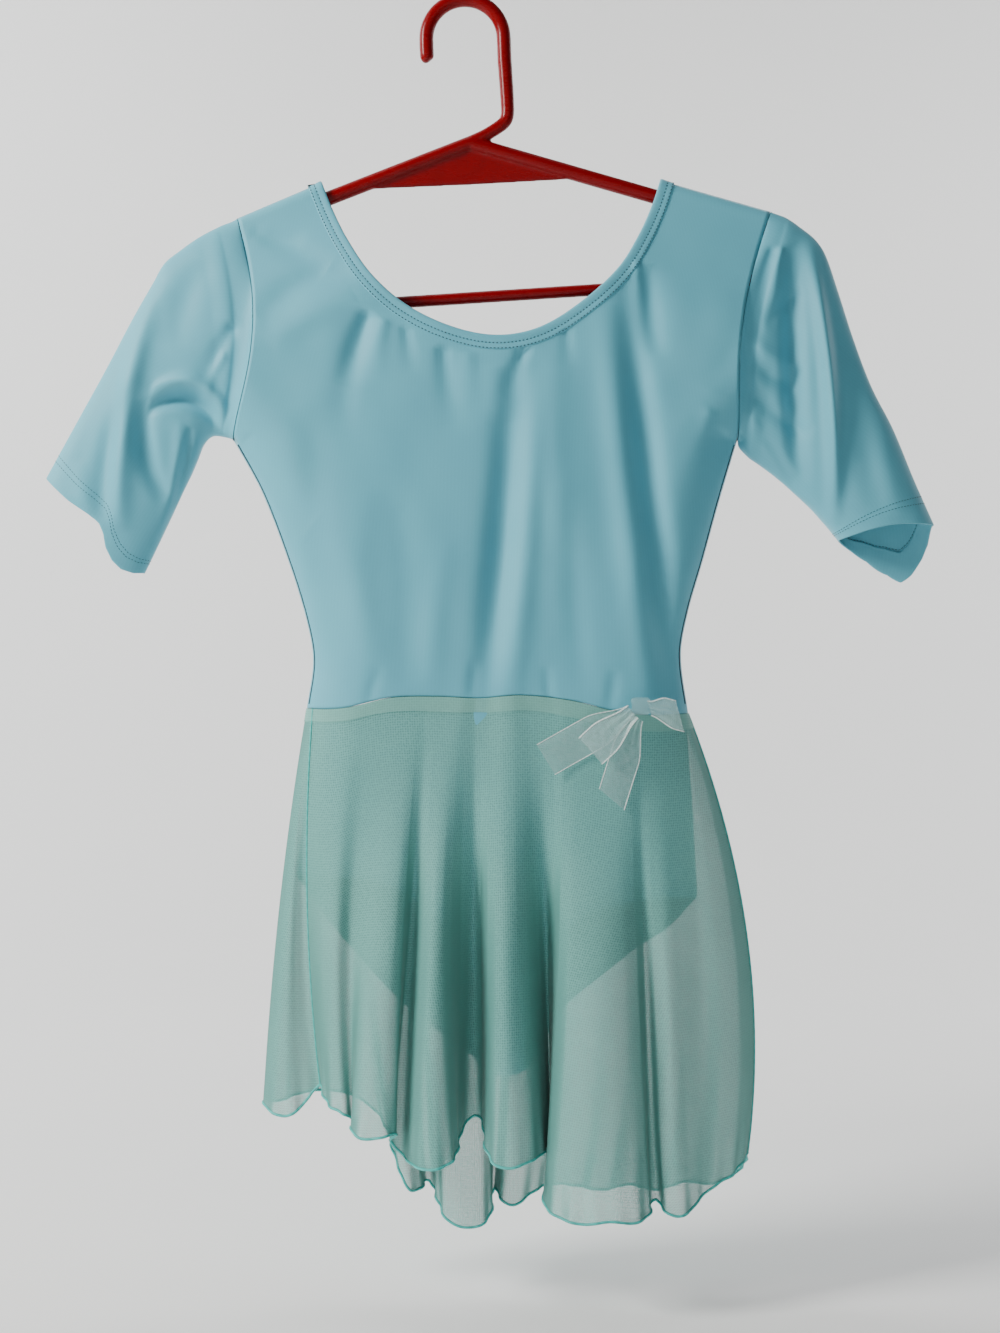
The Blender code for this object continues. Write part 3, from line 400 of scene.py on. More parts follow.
BRIEF_CREASES = (
    Fold((-70.0, -440.0), (-58.0, -520.0), -1.4, 8.0, 3.0, Run.FALLING),
    Fold((10.0, -436.0), (18.0, -560.0), 1.4, 12.0, 4.0),
    Fold((104.0, -444.0), (92.0, -530.0), -1.4, 9.0, -3.0, Run.FALLING),
    Fold((-30.0, -545.0), (16.0, -628.0), -1.1, 7.0, 5.0),
    Fold((66.0, -548.0), (34.0, -628.0), -1.1, 7.0, -5.0),
)
LEFT_SLEEVE_CREASES = (
    Fold((-190.0, -172.0), (-212.0, -326.0), 6.0, 7.0, 7.0),
    Fold((-204.0, -236.0), (-222.0, -318.0), -3.4, 7.0, 5.0),
    Fold((-194.0, -250.0), (-149.0, -266.0), -8.5, 5.0, -13.0),
    Fold((-196.0, -244.0), (-180.0, -310.0), -5.0, 6.0, 8.0),
    Fold((-192.0, -238.0), (-146.0, -254.0), 4.4, 4.5, -12.0),
    Fold((-174.0, -258.0), (-190.0, -334.0), 3.2, 4.5, -4.0),
    Fold((-168.0, -262.0), (-186.0, -356.0), -6.4, 2.3, 1.0),
    Fold((-158.0, -266.0), (-173.0, -336.0), -3.0, 5.0, 2.0),
    Fold((-222.0, -232.0), (-238.0, -304.0), -1.6, 9.0, 3.0),
    Fold((-160.0, -158.0), (-178.0, -214.0), -1.8, 9.0, 4.0),
    Fold((-140.0, -198.0), (-162.0, -248.0), -2.4, 6.0, 3.0, Run.FALLING),
    Fold((-146.0, -216.0), (-160.0, -250.0), 1.8, 3.5, 2.0, Run.FALLING),
    Fold((-238.0, -282.0), (-228.0, -318.0), 1.4, 6.0, 2.0),
)
RIGHT_SLEEVE_CREASES = (
    Fold((211.0, -146.0), (226.0, -324.0), 7.6, 4.6, -5.0),
    Fold((202.0, -148.0), (207.0, -306.0), -8.4, 6.4, 3.0),
    Fold((190.0, -150.0), (181.0, -196.0), -3.0, 5.0, 2.0, Run.FALLING),
    Fold((195.0, -150.0), (188.0, -196.0), 2.2, 4.0, 2.0, Run.FALLING),
    Fold((172.0, -234.0), (214.0, -266.0), -2.4, 4.5, 5.0),
    Fold((170.0, -248.0), (206.0, -290.0), 3.0, 4.5, 4.0),
    Fold((176.0, -262.0), (204.0, -304.0), -3.4, 4.0, -4.0),
    Fold((174.0, -208.0), (206.0, -224.0), 2.4, 5.0, 4.0),
    Fold((176.0, -220.0), (204.0, -238.0), -2.0, 4.0, 3.0),
    Fold((232.0, -186.0), (252.0, -318.0), -2.2, 9.0, -4.0),
    Fold((246.0, -230.0), (268.0, -318.0), 1.8, 8.0, 4.0),
    Fold((186.0, -202.0), (206.0, -178.0), -2.0, 5.0, -3.0),
)

# How far a cuff's edge runs past its line: share from the fold, push
LEFT_CUFF_FRONT = (
    (0.0, 0.0),
    (0.25, -3.0),
    (0.42, -6.5),
    (0.52, -7.6),
    (0.60, -4.5),
    (0.68, 1.0),
    (0.78, 5.0),
    (0.87, 6.0),
    (0.95, 3.6),
    (1.0, 0.0),
)
RIGHT_CUFF_BACK = (
    (0.0, 0.0),
    (0.05, 7.0),
    (0.12, 10.0),
    (0.25, 11.0),
    (0.37, 9.5),
    (0.5, 1.5),
    (0.7, -4.3),
    (0.85, -3.3),
    (1.0, 0.0),
)


def smooth(share: Grid | float) -> Grid | float:
    """Follow an S curve from 0 to 1."""
    share = np.clip(share, 0.0, 1.0)
    return share * share * (3 - 2 * share)


def mix(a: Grid | float, b: Grid | float, share: Grid | float) -> Grid | float:
    """Blend two values by a share."""
    return a + (b - a) * share


def eased(shares: Grid, amount: float) -> Grid:
    """Crowd shares from 0 to 1 towards both ends by an amount."""
    return mix(shares, (1 - np.cos(np.pi * shares)) / 2, amount)


def length_of(vectors: Grid) -> Grid:
    """Measure vectors, keeping their last axis."""
    return np.linalg.norm(vectors, axis=-1, keepdims=True)


def unit(vectors: Grid) -> Grid:
    """Scale vectors to a length of one."""
    return vectors / np.maximum(length_of(vectors), 1e-12)


def ripple(x: Grid, z: Grid, waves: Sequence[tuple[float, float, float, float]]) -> Grid:
    """Add up slow sine waves, for cloth that is never quite even.

    Args:
        x: Where the points are, across.
        z: Where the points are, up.
        waves: Rows of wavelength across, wavelength down, height and phase.

    Returns:
        The height at each point.
    """
    height = np.zeros_like(x)
    for across, down, size, phase in waves:
        height += size * np.sin(2 * np.pi * (x / across + z / down) + phase)
    return height


SLOW_WAVES = (
    (83.0, 210.0, 0.22, 0.4),
    (-61.0, 150.0, 0.16, 1.9),
    (47.0, -96.0, 0.10, 3.1),
    (31.0, 64.0, 0.05, 0.7),
)


@dataclass
class Curve:
    """A smooth curve through rows of numbers.

    Attributes:
        rows: The knots that it passes through.
    """

    rows: Sequence[Sequence[float]]
    knots: Grid = field(init=False)

    def __post_init__(self) -> None:
        """Keep the knots as numbers."""
        self.knots = np.array(self.rows, float)

    def between(self, k: Grid, share: Grid) -> Grid:
        """Find points between knot k and the next.

        Args:
            k: Number of the knot before each point.
            share: How far on towards the next knot, 0 to 1.

        Returns:
            The points, a row each.
        """
        last = len(self.knots) - 1
        a, b = self.knots[k], self.knots[k + 1]
        before = self.knots[np.maximum(k - 1, 0)]
        after = self.knots[np.minimum(k + 2, last)]
        span = length_of(b - a)
        leave = (b - before) * span / np.maximum(length_of(b - before), 1e-9)
        arrive = (after - a) * span / np.maximum(length_of(after - a), 1e-9)
        s = np.asarray(share, float)[..., None]
        return (
            a * (2 * s**3 - 3 * s**2 + 1)
            + leave * (s**3 - 2 * s**2 + s)
            + b * (3 * s**2 - 2 * s**3)
            + arrive * (s**3 - s**2)
        )

    def at(self, position: Grid) -> Grid:
        """Find points by their share of the whole length, 0 to 1."""
        spans = np.linalg.norm(np.diff(self.knots, axis=0), axis=1)
        ends = np.concatenate([[0.0], np.cumsum(spans)])
        place = np.clip(position, 0.0, 1.0) * ends[-1]
        k = np.clip(np.searchsorted(ends, place, side="right") - 1, 0, len(spans) - 1)
        return self.between(k, (place - ends[k]) / spans[k])

    def by_index(self, index: Grid) -> Grid:
        """Find points by the number of the knot that they are at, fractions too."""
        k = np.clip(np.floor(index).astype(int), 0, len(self.knots) - 2)
        return self.between(k, index - k)

    def other(self, value: Grid, column: int) -> Grid:
        """Read the curve's other coordinate where one of them has a value.

        Args:
            value: The known coordinate, any shape.
            column: Which coordinate that is, 0 or 1; it only rises or only falls.

        Returns:
            The other coordinate, in the same shape.
        """
        keys = self.knots[:, column]
        way = 1.0 if keys[-1] > keys[0] else -1.0
        order = keys * way
        wanted = np.clip(np.ravel(value) * way, order[0], order[-1])
        k = np.clip(np.searchsorted(order, wanted, side="right") - 1, 0, len(keys) - 2)
        share = (wanted - order[k]) / (order[k + 1] - order[k])
        return self.between(k, share)[:, 1 - column].reshape(np.shape(value))


WAIST_CURVE = Curve(WAIST)


@dataclass
class Trunk:
    """The hollow form of the dress round the hanger, as depths before and behind its plane.

    Attributes:
        wrap: How far the cloth rounds over the hanger's arms.
        wrap_run: How far below the shoulder the full depth is reached.
        side_round: How far in from a side seam the cloth is round.
        spread: How the edge of the hollow runs on above the underarm.
        fold_fade: How far below the shoulder folds reach their height.
        crotch: Level of the crotch.
        crotch_round: How far above the crotch the cloth rounds under.
        brief_inset: How far the brief stays inside the skirt's side.
    """

    wrap: float = 6.4
    wrap_run: float = 90.0
    side_round: float = 45.0
    spread: float = 0.9
    fold_fade: float = 30.0
    crotch: float = -660.0
    crotch_round: float = 40.0
    crotch_depth: float = 6.0
    brief_top: float = -437.0
    brief_inset: float = 1.5
    sides: dict[Side, tuple[Curve, Curve]] = field(init=False)

    def __post_init__(self) -> None:
        """Draw the side seams."""
        self.sides = {
            Side.LEFT: (Curve(SIDE_LEFT), Curve(BRIEF_LEFT)),
            Side.RIGHT: (Curve(SIDE_RIGHT), Curve(BRIEF_RIGHT)),
        }

    def shoulder(self, x: Grid) -> Grid:
        """Find the height of the shoulder line at x, carried on to a peak over the neck."""
        lines = []
        for notch, neck in ((NOTCH_LEFT, NECK_LEFT), (NOTCH_RIGHT, NECK_RIGHT)):
            lines.append(mix(notch[1], neck[1], (x - notch[0]) / (neck[0] - notch[0])))
        return np.minimum(*lines)

    def armhole(self, side: Side, z: Grid) -> Grid:
        """Find the x of an armhole seam at heights between its notch and its underarm."""
        top, low, bow = NOTCH_LEFT, UNDERARM_LEFT, 13.0
        if side is Side.RIGHT:
            top, low, bow = NOTCH_RIGHT, UNDERARM_RIGHT, -9.0
        share = np.clip((top[1] - z) / (top[1] - low[1]), 0.0, 1.0)
        return mix(top[0], low[0], share) + bow * np.sin(np.pi * share)

    def edge(self, side: Side, z: Grid) -> Grid:
        """Find the x where the hollow closes at heights z."""
        underarm = UNDERARM_LEFT if side is Side.LEFT else UNDERARM_RIGHT
        bodice, brief = self.sides[side]
        below = np.where(z >= bodice.knots[-1, 1], bodice.other(z, 1), brief.other(z, 1))
        above = underarm[0] + side.value * self.spread * (z - underarm[1])
        return np.where(z <= underarm[1], below, above)

    def inside(self, x: Grid, z: Grid) -> Grid:
        """Measure how far points are in from the nearer side."""
        return np.minimum(x - self.edge(Side.LEFT, z), self.edge(Side.RIGHT, z) - x)

    def round_side(self, inside: Grid) -> Grid:
        """Round the depth off towards a side seam."""
        return np.sqrt(1 - (1 - np.clip(inside / self.side_round, 0.0, 1.0)) ** 2)

    def bodice(self, face: Face, x: Grid, z: Grid) -> Grid:
        """Work out the depth of a bodice panel.

        Args:
            face: Front or back.
            x: Where the points are, across.
            z: Where the points are, up.

        Returns:
            How far each point stands from the hanger's plane.
        """
        full = FRONT_DEPTH if face is Face.FRONT else BACK_DEPTH
        below = np.maximum(self.shoulder(x) - z, 0.0)
        depth = np.sqrt(np.maximum(self.wrap**2 - np.maximum(self.wrap - below, 0.0) ** 2, 0.0))
        depth = depth + (full - self.wrap) * smooth(below / self.wrap_run)
        relief = ripple(x, z, SLOW_WAVES)
        for fold in FRONT_SHAPE if face is Face.FRONT else BACK_SHAPE:
            relief = relief + fold.field(x, z)
        return (depth + relief * smooth(below / self.fold_fade)) * self.round_side(self.inside(x, z))

    def brief(self, face: Face, x: Grid, z: Grid) -> Grid:
        """Work out the depth of a brief panel, less towards the crotch and round under it."""
        full = FRONT_DEPTH if face is Face.FRONT else BACK_DEPTH
        above = np.maximum(z - self.crotch, 0.0)
        rise = np.minimum(above / (self.brief_top - self.crotch), 1.0)
        depth = mix(self.crotch_depth, full - self.brief_inset, rise)
        under = np.minimum(above / self.crotch_round, 1.0)
        relief = ripple(x, z, SLOW_WAVES)
        for fold in BRIEF_CREASES:
            relief = relief + fold.field(x, z)
        depth = (depth + relief * smooth(above / 60.0)) * np.sqrt(1 - (1 - under) ** 2)
        return depth * self.round_side(self.inside(x, z) - self.brief_inset)


FRONT_SHAPE = tuple(Fold(row[:2], row[2:4], row[4], row[5]) for row in FRONT_FOLDS) + FRONT_CREASES
BACK_SHAPE = tuple(Fold(row[:2], row[2:4], row[4], row[5]) for row in BACK_FOLDS) + BACK_CREASES


def surface(face: Face, depth_of: Callable[[Face, Grid, Grid], Grid], x: Grid, z: Grid) -> Grid:
    """Lift points in the hanger's plane to the front or back of the hollow.

    Args:
        face: Front or back.
        depth_of: Gives the depth at face, x and z.
        x: Where the points are, across.
        z: Where the points are, up.

    Returns:
        Points in space, one x, y, z for each.
    """
    return np.stack([x, face.value * np.maximum(depth_of(face, x, z), SEAM_GAP / 2), z], axis=-1)


def surface_normal(
    face: Face, depth_of: Callable[[Face, Grid, Grid], Grid], x: Grid, z: Grid
) -> Grid:
    """Find the outward direction of the hollow's front or back.

    Args:
        face: Front or back.
        depth_of: Gives the depth at face, x and z.
        x: Where the points are, across.
        z: Where the points are, up.

    Returns:
        Unit vectors, one for each point.
    """
    step = 0.4
    across = depth_of(face, x + step, z) - depth_of(face, x - step, z)
    upwards = depth_of(face, x, z + step) - depth_of(face, x, z - step)
    flat = depth_of(face, x, z) < SEAM_GAP
    forward = np.where(flat, 0.0, face.value * 2 * step)
    return unit(np.stack([-across, forward, -upwards], axis=-1))


def parallel_neck(rows: Sequence[Sequence[float]], offset: float, shares: Grid) -> Grid:
    """Move a neckline away from the opening, its ends sliding along the shoulder lines.

    Args:
        rows: The neckline's edge, x and z.
        offset: How far to move it.
        shares: Where along it the points are, 0 to 1.

    Returns:
        Points as x and z.
    """
    curve = Curve(rows)
    ahead = curve.at(np.minimum(shares + 0.004, 1.0)) - curve.at(np.maximum(shares - 0.004, 0.0))
    outward = unit(np.stack([ahead[:, 1], -ahead[:, 0]], axis=-1))
    for end, neck, notch in ((0, NECK_LEFT, NOTCH_LEFT), (-1, NECK_RIGHT, NOTCH_RIGHT)):
        shoulder = unit(np.array(notch) - np.array(neck))
        outward[end] = shoulder / np.dot(shoulder, outward[end])
    return curve.at(shares) + outward * offset


@dataclass
class Cloth:
    """A sheet of cloth as a grid of points in millimetres.

    Attributes:
        name: Name of its piece.
        grid: Rows by columns by x, y, z.
        outward: The side that shows, as one vector or one for each point.
        closed: True where its last column joins its first.
        marks: Numbers for each point that its material reads by name.
    """

    name: str
    grid: Grid
    outward: Grid
    closed: bool = False
    marks: dict[str, Grid] = field(default_factory=dict)

    def wrapped(self) -> Grid:
        """Give the grid with its first column repeated at the end where it is closed."""
        return np.concatenate([self.grid, self.grid[:, :1]], axis=1) if self.closed else self.grid

    def normals(self) -> Grid:
        """Find the unit normal at each point, on the side that shows."""
        if self.closed:
            around = np.roll(self.grid, -1, axis=1) - np.roll(self.grid, 1, axis=1)
        else:
            around = np.gradient(self.grid, axis=1)
        normal = unit(np.cross(around, np.gradient(self.grid, axis=0)))
        return normal if np.sum(normal * self.outward) > 0 else -normal

    def cloth_map(self) -> Grid:
        """Measure each point's place on the flat cloth: along its row and down its column."""
        grid = self.wrapped()
        along = np.linalg.norm(np.diff(grid, axis=1), axis=2).cumsum(axis=1)
        along = np.concatenate([np.zeros((len(grid), 1)), along], axis=1)
        along -= along[:, along.shape[1] // 2][:, None]
        down = np.linalg.norm(np.diff(grid, axis=0), axis=2).cumsum(axis=0)
        down = np.concatenate([np.zeros((1, grid.shape[1])), down], axis=0)
        return np.stack([along, down], axis=-1)

    def build(self) -> bpy.types.Object:
        """Make the mesh, with the cloth map as its UV map.

        Returns:
            The new object, at the origin.
        """
        rows, columns = self.grid.shape[:2]
        chart = self.cloth_map()
        spans = columns if self.closed else columns - 1
        j, i = np.meshgrid(np.arange(rows - 1), np.arange(spans), indexing="ij")
        k = (i + 1) % columns
        quads = np.stack([j * columns + i, j * columns + k, (j + 1) * columns + k, (j + 1) * columns + i], -1)
        wide = chart.shape[1]
        corners = np.stack([j * wide + i, j * wide + i + 1, (j + 1) * wide + i + 1, (j + 1) * wide + i], -1)
        quads, corners = quads.reshape(-1, 4), corners.reshape(-1, 4)
        points = self.grid.reshape(-1, 3)
        first = points[quads]
        faces_way = np.cross(first[:, 1] - first[:, 0], first[:, 3] - first[:, 0])
        if np.sum(faces_way * self.normals().reshape(-1, 3)[quads[:, 0]]) < 0:
            quads, corners = quads[:, ::-1], corners[:, ::-1]
        mesh = bpy.data.meshes.new(self.name)
        mesh.vertices.add(len(points))
        mesh.vertices.foreach_set("co", np.ravel(points * MM))
        mesh.loops.add(quads.size)
        mesh.loops.foreach_set("vertex_index", np.ravel(quads))
        mesh.polygons.add(len(quads))
        mesh.polygons.foreach_set("loop_start", np.arange(0, quads.size, 4))
        mesh.update(calc_edges=True)
        chart_layer = mesh.uv_layers.new(name="cloth")
        chart_layer.data.foreach_set("uv", np.ravel(chart.reshape(-1, 2)[corners.ravel()] * MM))
        for name, values in self.marks.items():
            mark = mesh.attributes.new(name, "FLOAT", "POINT")
            mark.data.foreach_set("value", np.ravel(np.broadcast_to(values, (rows, columns))))
        mesh.shade_smooth()
        made = bpy.data.objects.new(self.name, mesh)
        bpy.context.scene.collection.objects.link(made)
        return made


def only_select(piece: bpy.types.Object) -> None:
    """Select one object alone and make it active."""
    bpy.ops.object.select_all(action="DESELECT")
    piece.select_set(True)
    bpy.context.view_layer.objects.active = piece


def merge_doubles(piece: bpy.types.Object) -> None:
    """Merge the points of a piece that lie on each other."""
    only_select(piece)
    bpy.ops.object.mode_set(mode="EDIT")
    bpy.ops.mesh.select_all(action="SELECT")
    bpy.ops.mesh.remove_doubles(threshold=0.02 * MM)
    bpy.ops.object.mode_set(mode="OBJECT")


def thicken(piece: bpy.types.Object, wall: float, right_side: Finish, shaded_wrong_side: Finish) -> None:
    """Give a sheet its thickness, inwards from the side that shows.

    Args:
        piece: The sheet.
        wall: Its thickness in millimetres.
        right_side: Finish of the side that shows.
        shaded_wrong_side: Finish of its inside, the knit painted far darker as shade.
    """
    piece.data.materials.append(right_side)
    piece.data.materials.append(shaded_wrong_side)
    only_select(piece)
    shell = piece.modifiers.new("wall", "SOLIDIFY")
    shell.thickness = wall * MM
    shell.offset = -1.0
    shell.material_offset = 1
    bpy.ops.object.modifier_apply(modifier="wall")


def tube(line: Grid, radius: float, sides: int, closed: bool = False) -> Grid:
    """Sweep a circle along a line, for a cord of thread or a rolled edge.

    Args:
        line: Points along its middle.
        radius: Its radius.
        sides: Points round it.
        closed: True where the line joins its own start.

    Returns:
        A grid with a row for each point of the circle, to be closed the other way round.
    """
    if closed:
        ahead = unit(np.roll(line, -1, axis=0) - np.roll(line, 1, axis=0))
    else:
        ahead = unit(np.gradient(line, axis=0))
    up = np.array([0.0, 1.0, 0.0])
    across = unit(np.cross(ahead, up) + 1e-9)
    lift = unit(np.cross(across, ahead))
    turn = np.linspace(0, 2 * np.pi, sides, endpoint=False)
    ring = across[:, None] * np.cos(turn)[None, :, None] + lift[:, None] * np.sin(turn)[None, :, None]
    return line[:, None] + ring * radius


def evenly(line: Grid, normals: Grid, pitch: float) -> tuple[Grid, Grid, Grid]:
    """Place points along a line an equal way apart.

    Args:
        line: Points along it.
        normals: The cloth's normal at each.
        pitch: How far apart the new points are.

    Returns:
        The places, the way ahead at each, and the normals.
    """
    gone = np.concatenate([[0.0], np.cumsum(np.linalg.norm(np.diff(line, axis=0), axis=1))])
    wanted = np.arange(pitch / 2, gone[-1], pitch)
    places = np.stack([np.interp(wanted, gone, line[:, c]) for c in range(3)], axis=-1)
    ups = unit(np.stack([np.interp(wanted, gone, normals[:, c]) for c in range(3)], axis=-1))
    ahead = np.stack([np.interp(wanted + 0.4, gone, line[:, c]) for c in range(3)], axis=-1)
    behind = np.stack([np.interp(wanted - 0.4, gone, line[:, c]) for c in range(3)], axis=-1)
    return places, unit(ahead - behind), ups


@dataclass
class StitchRows:
    """Rows of thread stitches: one stitch is modelled and its mesh is copied along each row.

    Attributes:
        pitch: From one stitch to the next.
        length: How long a stitch shows.
        thread: How thick its thread is.
        lift: How far its middle stands off the cloth.
    """

    pitch: float = 2.1
    length: float = 1.55
    thread: float = 0.5
    lift: float = 0.08
    lines: list[tuple[Grid, Grid]] = field(default_factory=list)

    def add(self, line: Grid, normals: Grid) -> None:
        """Keep a line of cloth points for a row of stitches."""
        self.lines.append((line, normals))

    def one_stitch(self) -> tuple[Grid, Grid]:
        """Model a single stitch: a small ball drawn out along X, sunk at both ends.

        Returns:
            Its points in millimetres and its triangles.
        """
        bpy.ops.object.select_all(action="DESELECT")
        bpy.ops.mesh.primitive_uv_sphere_add(
            segments=6, ring_count=4, radius=0.5, rotation=(0, math.pi / 2, 0)
        )
        bead = bpy.context.active_object
        bead.scale = (self.thread, self.thread, self.length)
        bpy.ops.object.transform_apply(location=True, rotation=True, scale=True)
        bpy.ops.object.mode_set(mode="EDIT")
        bpy.ops.mesh.select_all(action="SELECT")
        bpy.ops.mesh.quads_convert_to_tris()
        bpy.ops.object.mode_set(mode="OBJECT")
        points = np.array([vertex.co for vertex in bead.data.vertices])
        points[:, 2] -= 0.35 * self.thread * (2 * points[:, 0] / self.length) ** 2
        triangles = np.array([list(face.vertices) for face in bead.data.polygons])
        bpy.data.objects.remove(bead, do_unlink=True)
        return points, triangles

    def build(self, name: str) -> bpy.types.Object:
        """Copy the stitch along every row, into one mesh.

        Args:
            name: Name of the new piece.

        Returns:
            The new object.
        """
        bead, triangles = self.one_stitch()
        points, faces, start = [], [], 0
        for line, normals in self.lines:
            places, ahead, ups = evenly(line, normals, self.pitch)
            across = unit(np.cross(ups, ahead))
            spots = places + ups * self.lift
            copies = (
                spots[:, None]
                + ahead[:, None] * bead[None, :, :1]
                + across[:, None] * bead[None, :, 1:2]
                + ups[:, None] * bead[None, :, 2:]
            )
            points.append(copies.reshape(-1, 3))
            numbers = start + np.arange(len(places)) * len(bead)
            faces.append((numbers[:, None, None] + triangles[None]).reshape(-1, 3))
            start += copies.shape[0] * len(bead)
        mesh = bpy.data.meshes.new(name)
        mesh.from_pydata((np.concatenate(points) * MM).tolist(), [], np.concatenate(faces).tolist())
        mesh.update()
        mesh.shade_smooth()
        made = bpy.data.objects.new(name, mesh)
        bpy.context.scene.collection.objects.link(made)
        return made


def linear(code: str) -> tuple[float, float, float, float]:
    """Turn an sRGB hex colour into linear red, green, blue and alpha."""
    channels = [int(code[k : k + 2], 16) / 255 for k in (0, 2, 4)]
    return (*[c / 12.92 if c <= 0.04045 else ((c + 0.055) / 1.055) ** 2.4 for c in channels], 1.0)


def add_node(
    tree: bpy.types.NodeTree, kind: str, settings: dict | None = None, links: Links | None = None
) -> bpy.types.Node:
    """Add a shader node.

    Args:
        tree: The material's tree.
        kind: The node's type.
        settings: Values of its inputs, by name or number, or of its own properties.
        links: Output sockets by the input that each goes to.

    Returns:
        The new node.
    """
    node = tree.nodes.new(kind)
    for key, value in (settings or {}).items():
        if isinstance(key, int) or key in node.inputs:
            node.inputs[key].default_value = value
        else:
            setattr(node, key, value)
    for key, socket in (links or {}).items():
        tree.links.new(socket, node.inputs[key])
    return node


def new_material(name: str) -> tuple[bpy.types.Material, bpy.types.NodeTree, bpy.types.Node]:
    """Start a material and give it, its tree and its Principled shader."""
    made = bpy.data.materials.new(name)
    made.use_nodes = True
    return made, made.node_tree, made.node_tree.nodes["Principled BSDF"]


def set_shader(shader: bpy.types.Node, settings: dict[str, float | tuple]) -> None:
    """Set constant values on a shader's own sockets."""
    for key, value in settings.items():
        shader.inputs[key].default_value = value


def object_place(tree: bpy.types.NodeTree) -> bpy.types.NodeSocket:
    """Read the place on the object, which is the same as in the frame."""
    return add_node(tree, "ShaderNodeTexCoord").outputs["Object"]


def cloth_place(tree: bpy.types.NodeTree) -> bpy.types.NodeSocket:
    """Read the place on the flat cloth, in metres."""
    return add_node(tree, "ShaderNodeUVMap", {"uv_map": "cloth"}).outputs["UV"]


def noise(
    tree: bpy.types.NodeTree, place: bpy.types.NodeSocket, scale: float, detail: float = 2.0
) -> bpy.types.NodeSocket:
    """Add noise of a scale to a metre, and give its value."""
    made = add_node(tree, "ShaderNodeTexNoise", {"Scale": scale, "Detail": detail}, {"Vector": place})
    return made.outputs["Fac"]


def blend(
    tree: bpy.types.NodeTree, share: Input, first: Input, second: Input, kind: str = "MIX"
) -> bpy.types.NodeSocket:
    """Blend two colours.

    Args:
        tree: The material's tree.
        share: How much of the second, as a number or a socket.
        first: The first colour or its socket.
        second: The second colour or its socket.
        kind: How they blend.

    Returns:
        The socket of the result.
    """
    made = add_node(tree, "ShaderNodeMix", {"data_type": "RGBA", "blend_type": kind})
    for number, given in ((0, share), (6, first), (7, second)):
        if isinstance(given, bpy.types.NodeSocket):
            tree.links.new(given, made.inputs[number])
        else:
            made.inputs[number].default_value = given
    return made.outputs[2]


def emboss(
    tree: bpy.types.NodeTree,
    shader: bpy.types.Node,
    height: bpy.types.NodeSocket,
    strength: float,
    depth: float,
) -> None:
    """Raise a pattern on the surface, by its strength and its depth in millimetres."""
    settings = {"Strength": strength, "Distance": depth * MM}
    bump = add_node(tree, "ShaderNodeBump", settings, {"Height": height})
    tree.links.new(bump.outputs["Normal"], shader.inputs["Normal"])


@dataclass(frozen=True)
class StretchKnit:
    """Nylon and elastane swim knit, warp knitted and heat set.

    To the eye it is smooth and matt with a soft bloom at the edges, and fine upright ribs close to.

    Attributes:
        light: Colour of the cloth where it bulks.
        deep: Colour where it lies thinner.
        rib: Spacing of the ribs in millimetres, drawn three times as wide as real to show.
    """

    light: str = "6DC3D6"
    deep: str = "5FB4CA"
    rib: float = 1.15

    def make(self, name: str = "nylon_elastane_knit") -> bpy.types.Material:
        """Build the material."""
        made, tree, shader = new_material(name)
        place = object_place(tree)
        chart = cloth_place(tree)
        clouds = noise(tree, place, 14.0, 3.0)
        tone = blend(tree, clouds, linear(self.deep), linear(self.light))
        ribs = add_node(
            tree,
            "ShaderNodeTexWave",
            {"Scale": 1000 / self.rib / (2 * math.pi), "Distortion": 0.6, "Detail": 1.0},
            {"Vector": chart},
        )
        grain = noise(tree, chart, 1500.0)
        shade = blend(tree, 0.03, tone, ribs.outputs["Color"], "MULTIPLY")
        speck = blend(tree, 0.10, shade, grain, "MULTIPLY")
        tree.links.new(speck, shader.inputs["Base Color"])
        rough = add_node(
            tree,
            "ShaderNodeMapRange",
            {"To Min": 0.50, "To Max": 0.62},
            {"Value": clouds},
        )
        tree.links.new(rough.outputs["Result"], shader.inputs["Roughness"])
        relief = add_node(
            tree,
            "ShaderNodeMath",
            {"operation": "MULTIPLY_ADD", 2: 0.0},
            {0: ribs.outputs["Fac"], 1: grain},
        )
        emboss(tree, shader, relief.outputs["Value"], 0.12, 0.1)
        set_shader(shader, {"Sheen Weight": 0.22, "Sheen Roughness": 0.45, "Specular IOR Level": 0.35})
        set_shader(shader, {"Sheen Tint": linear("DDF2F4")})
        return made


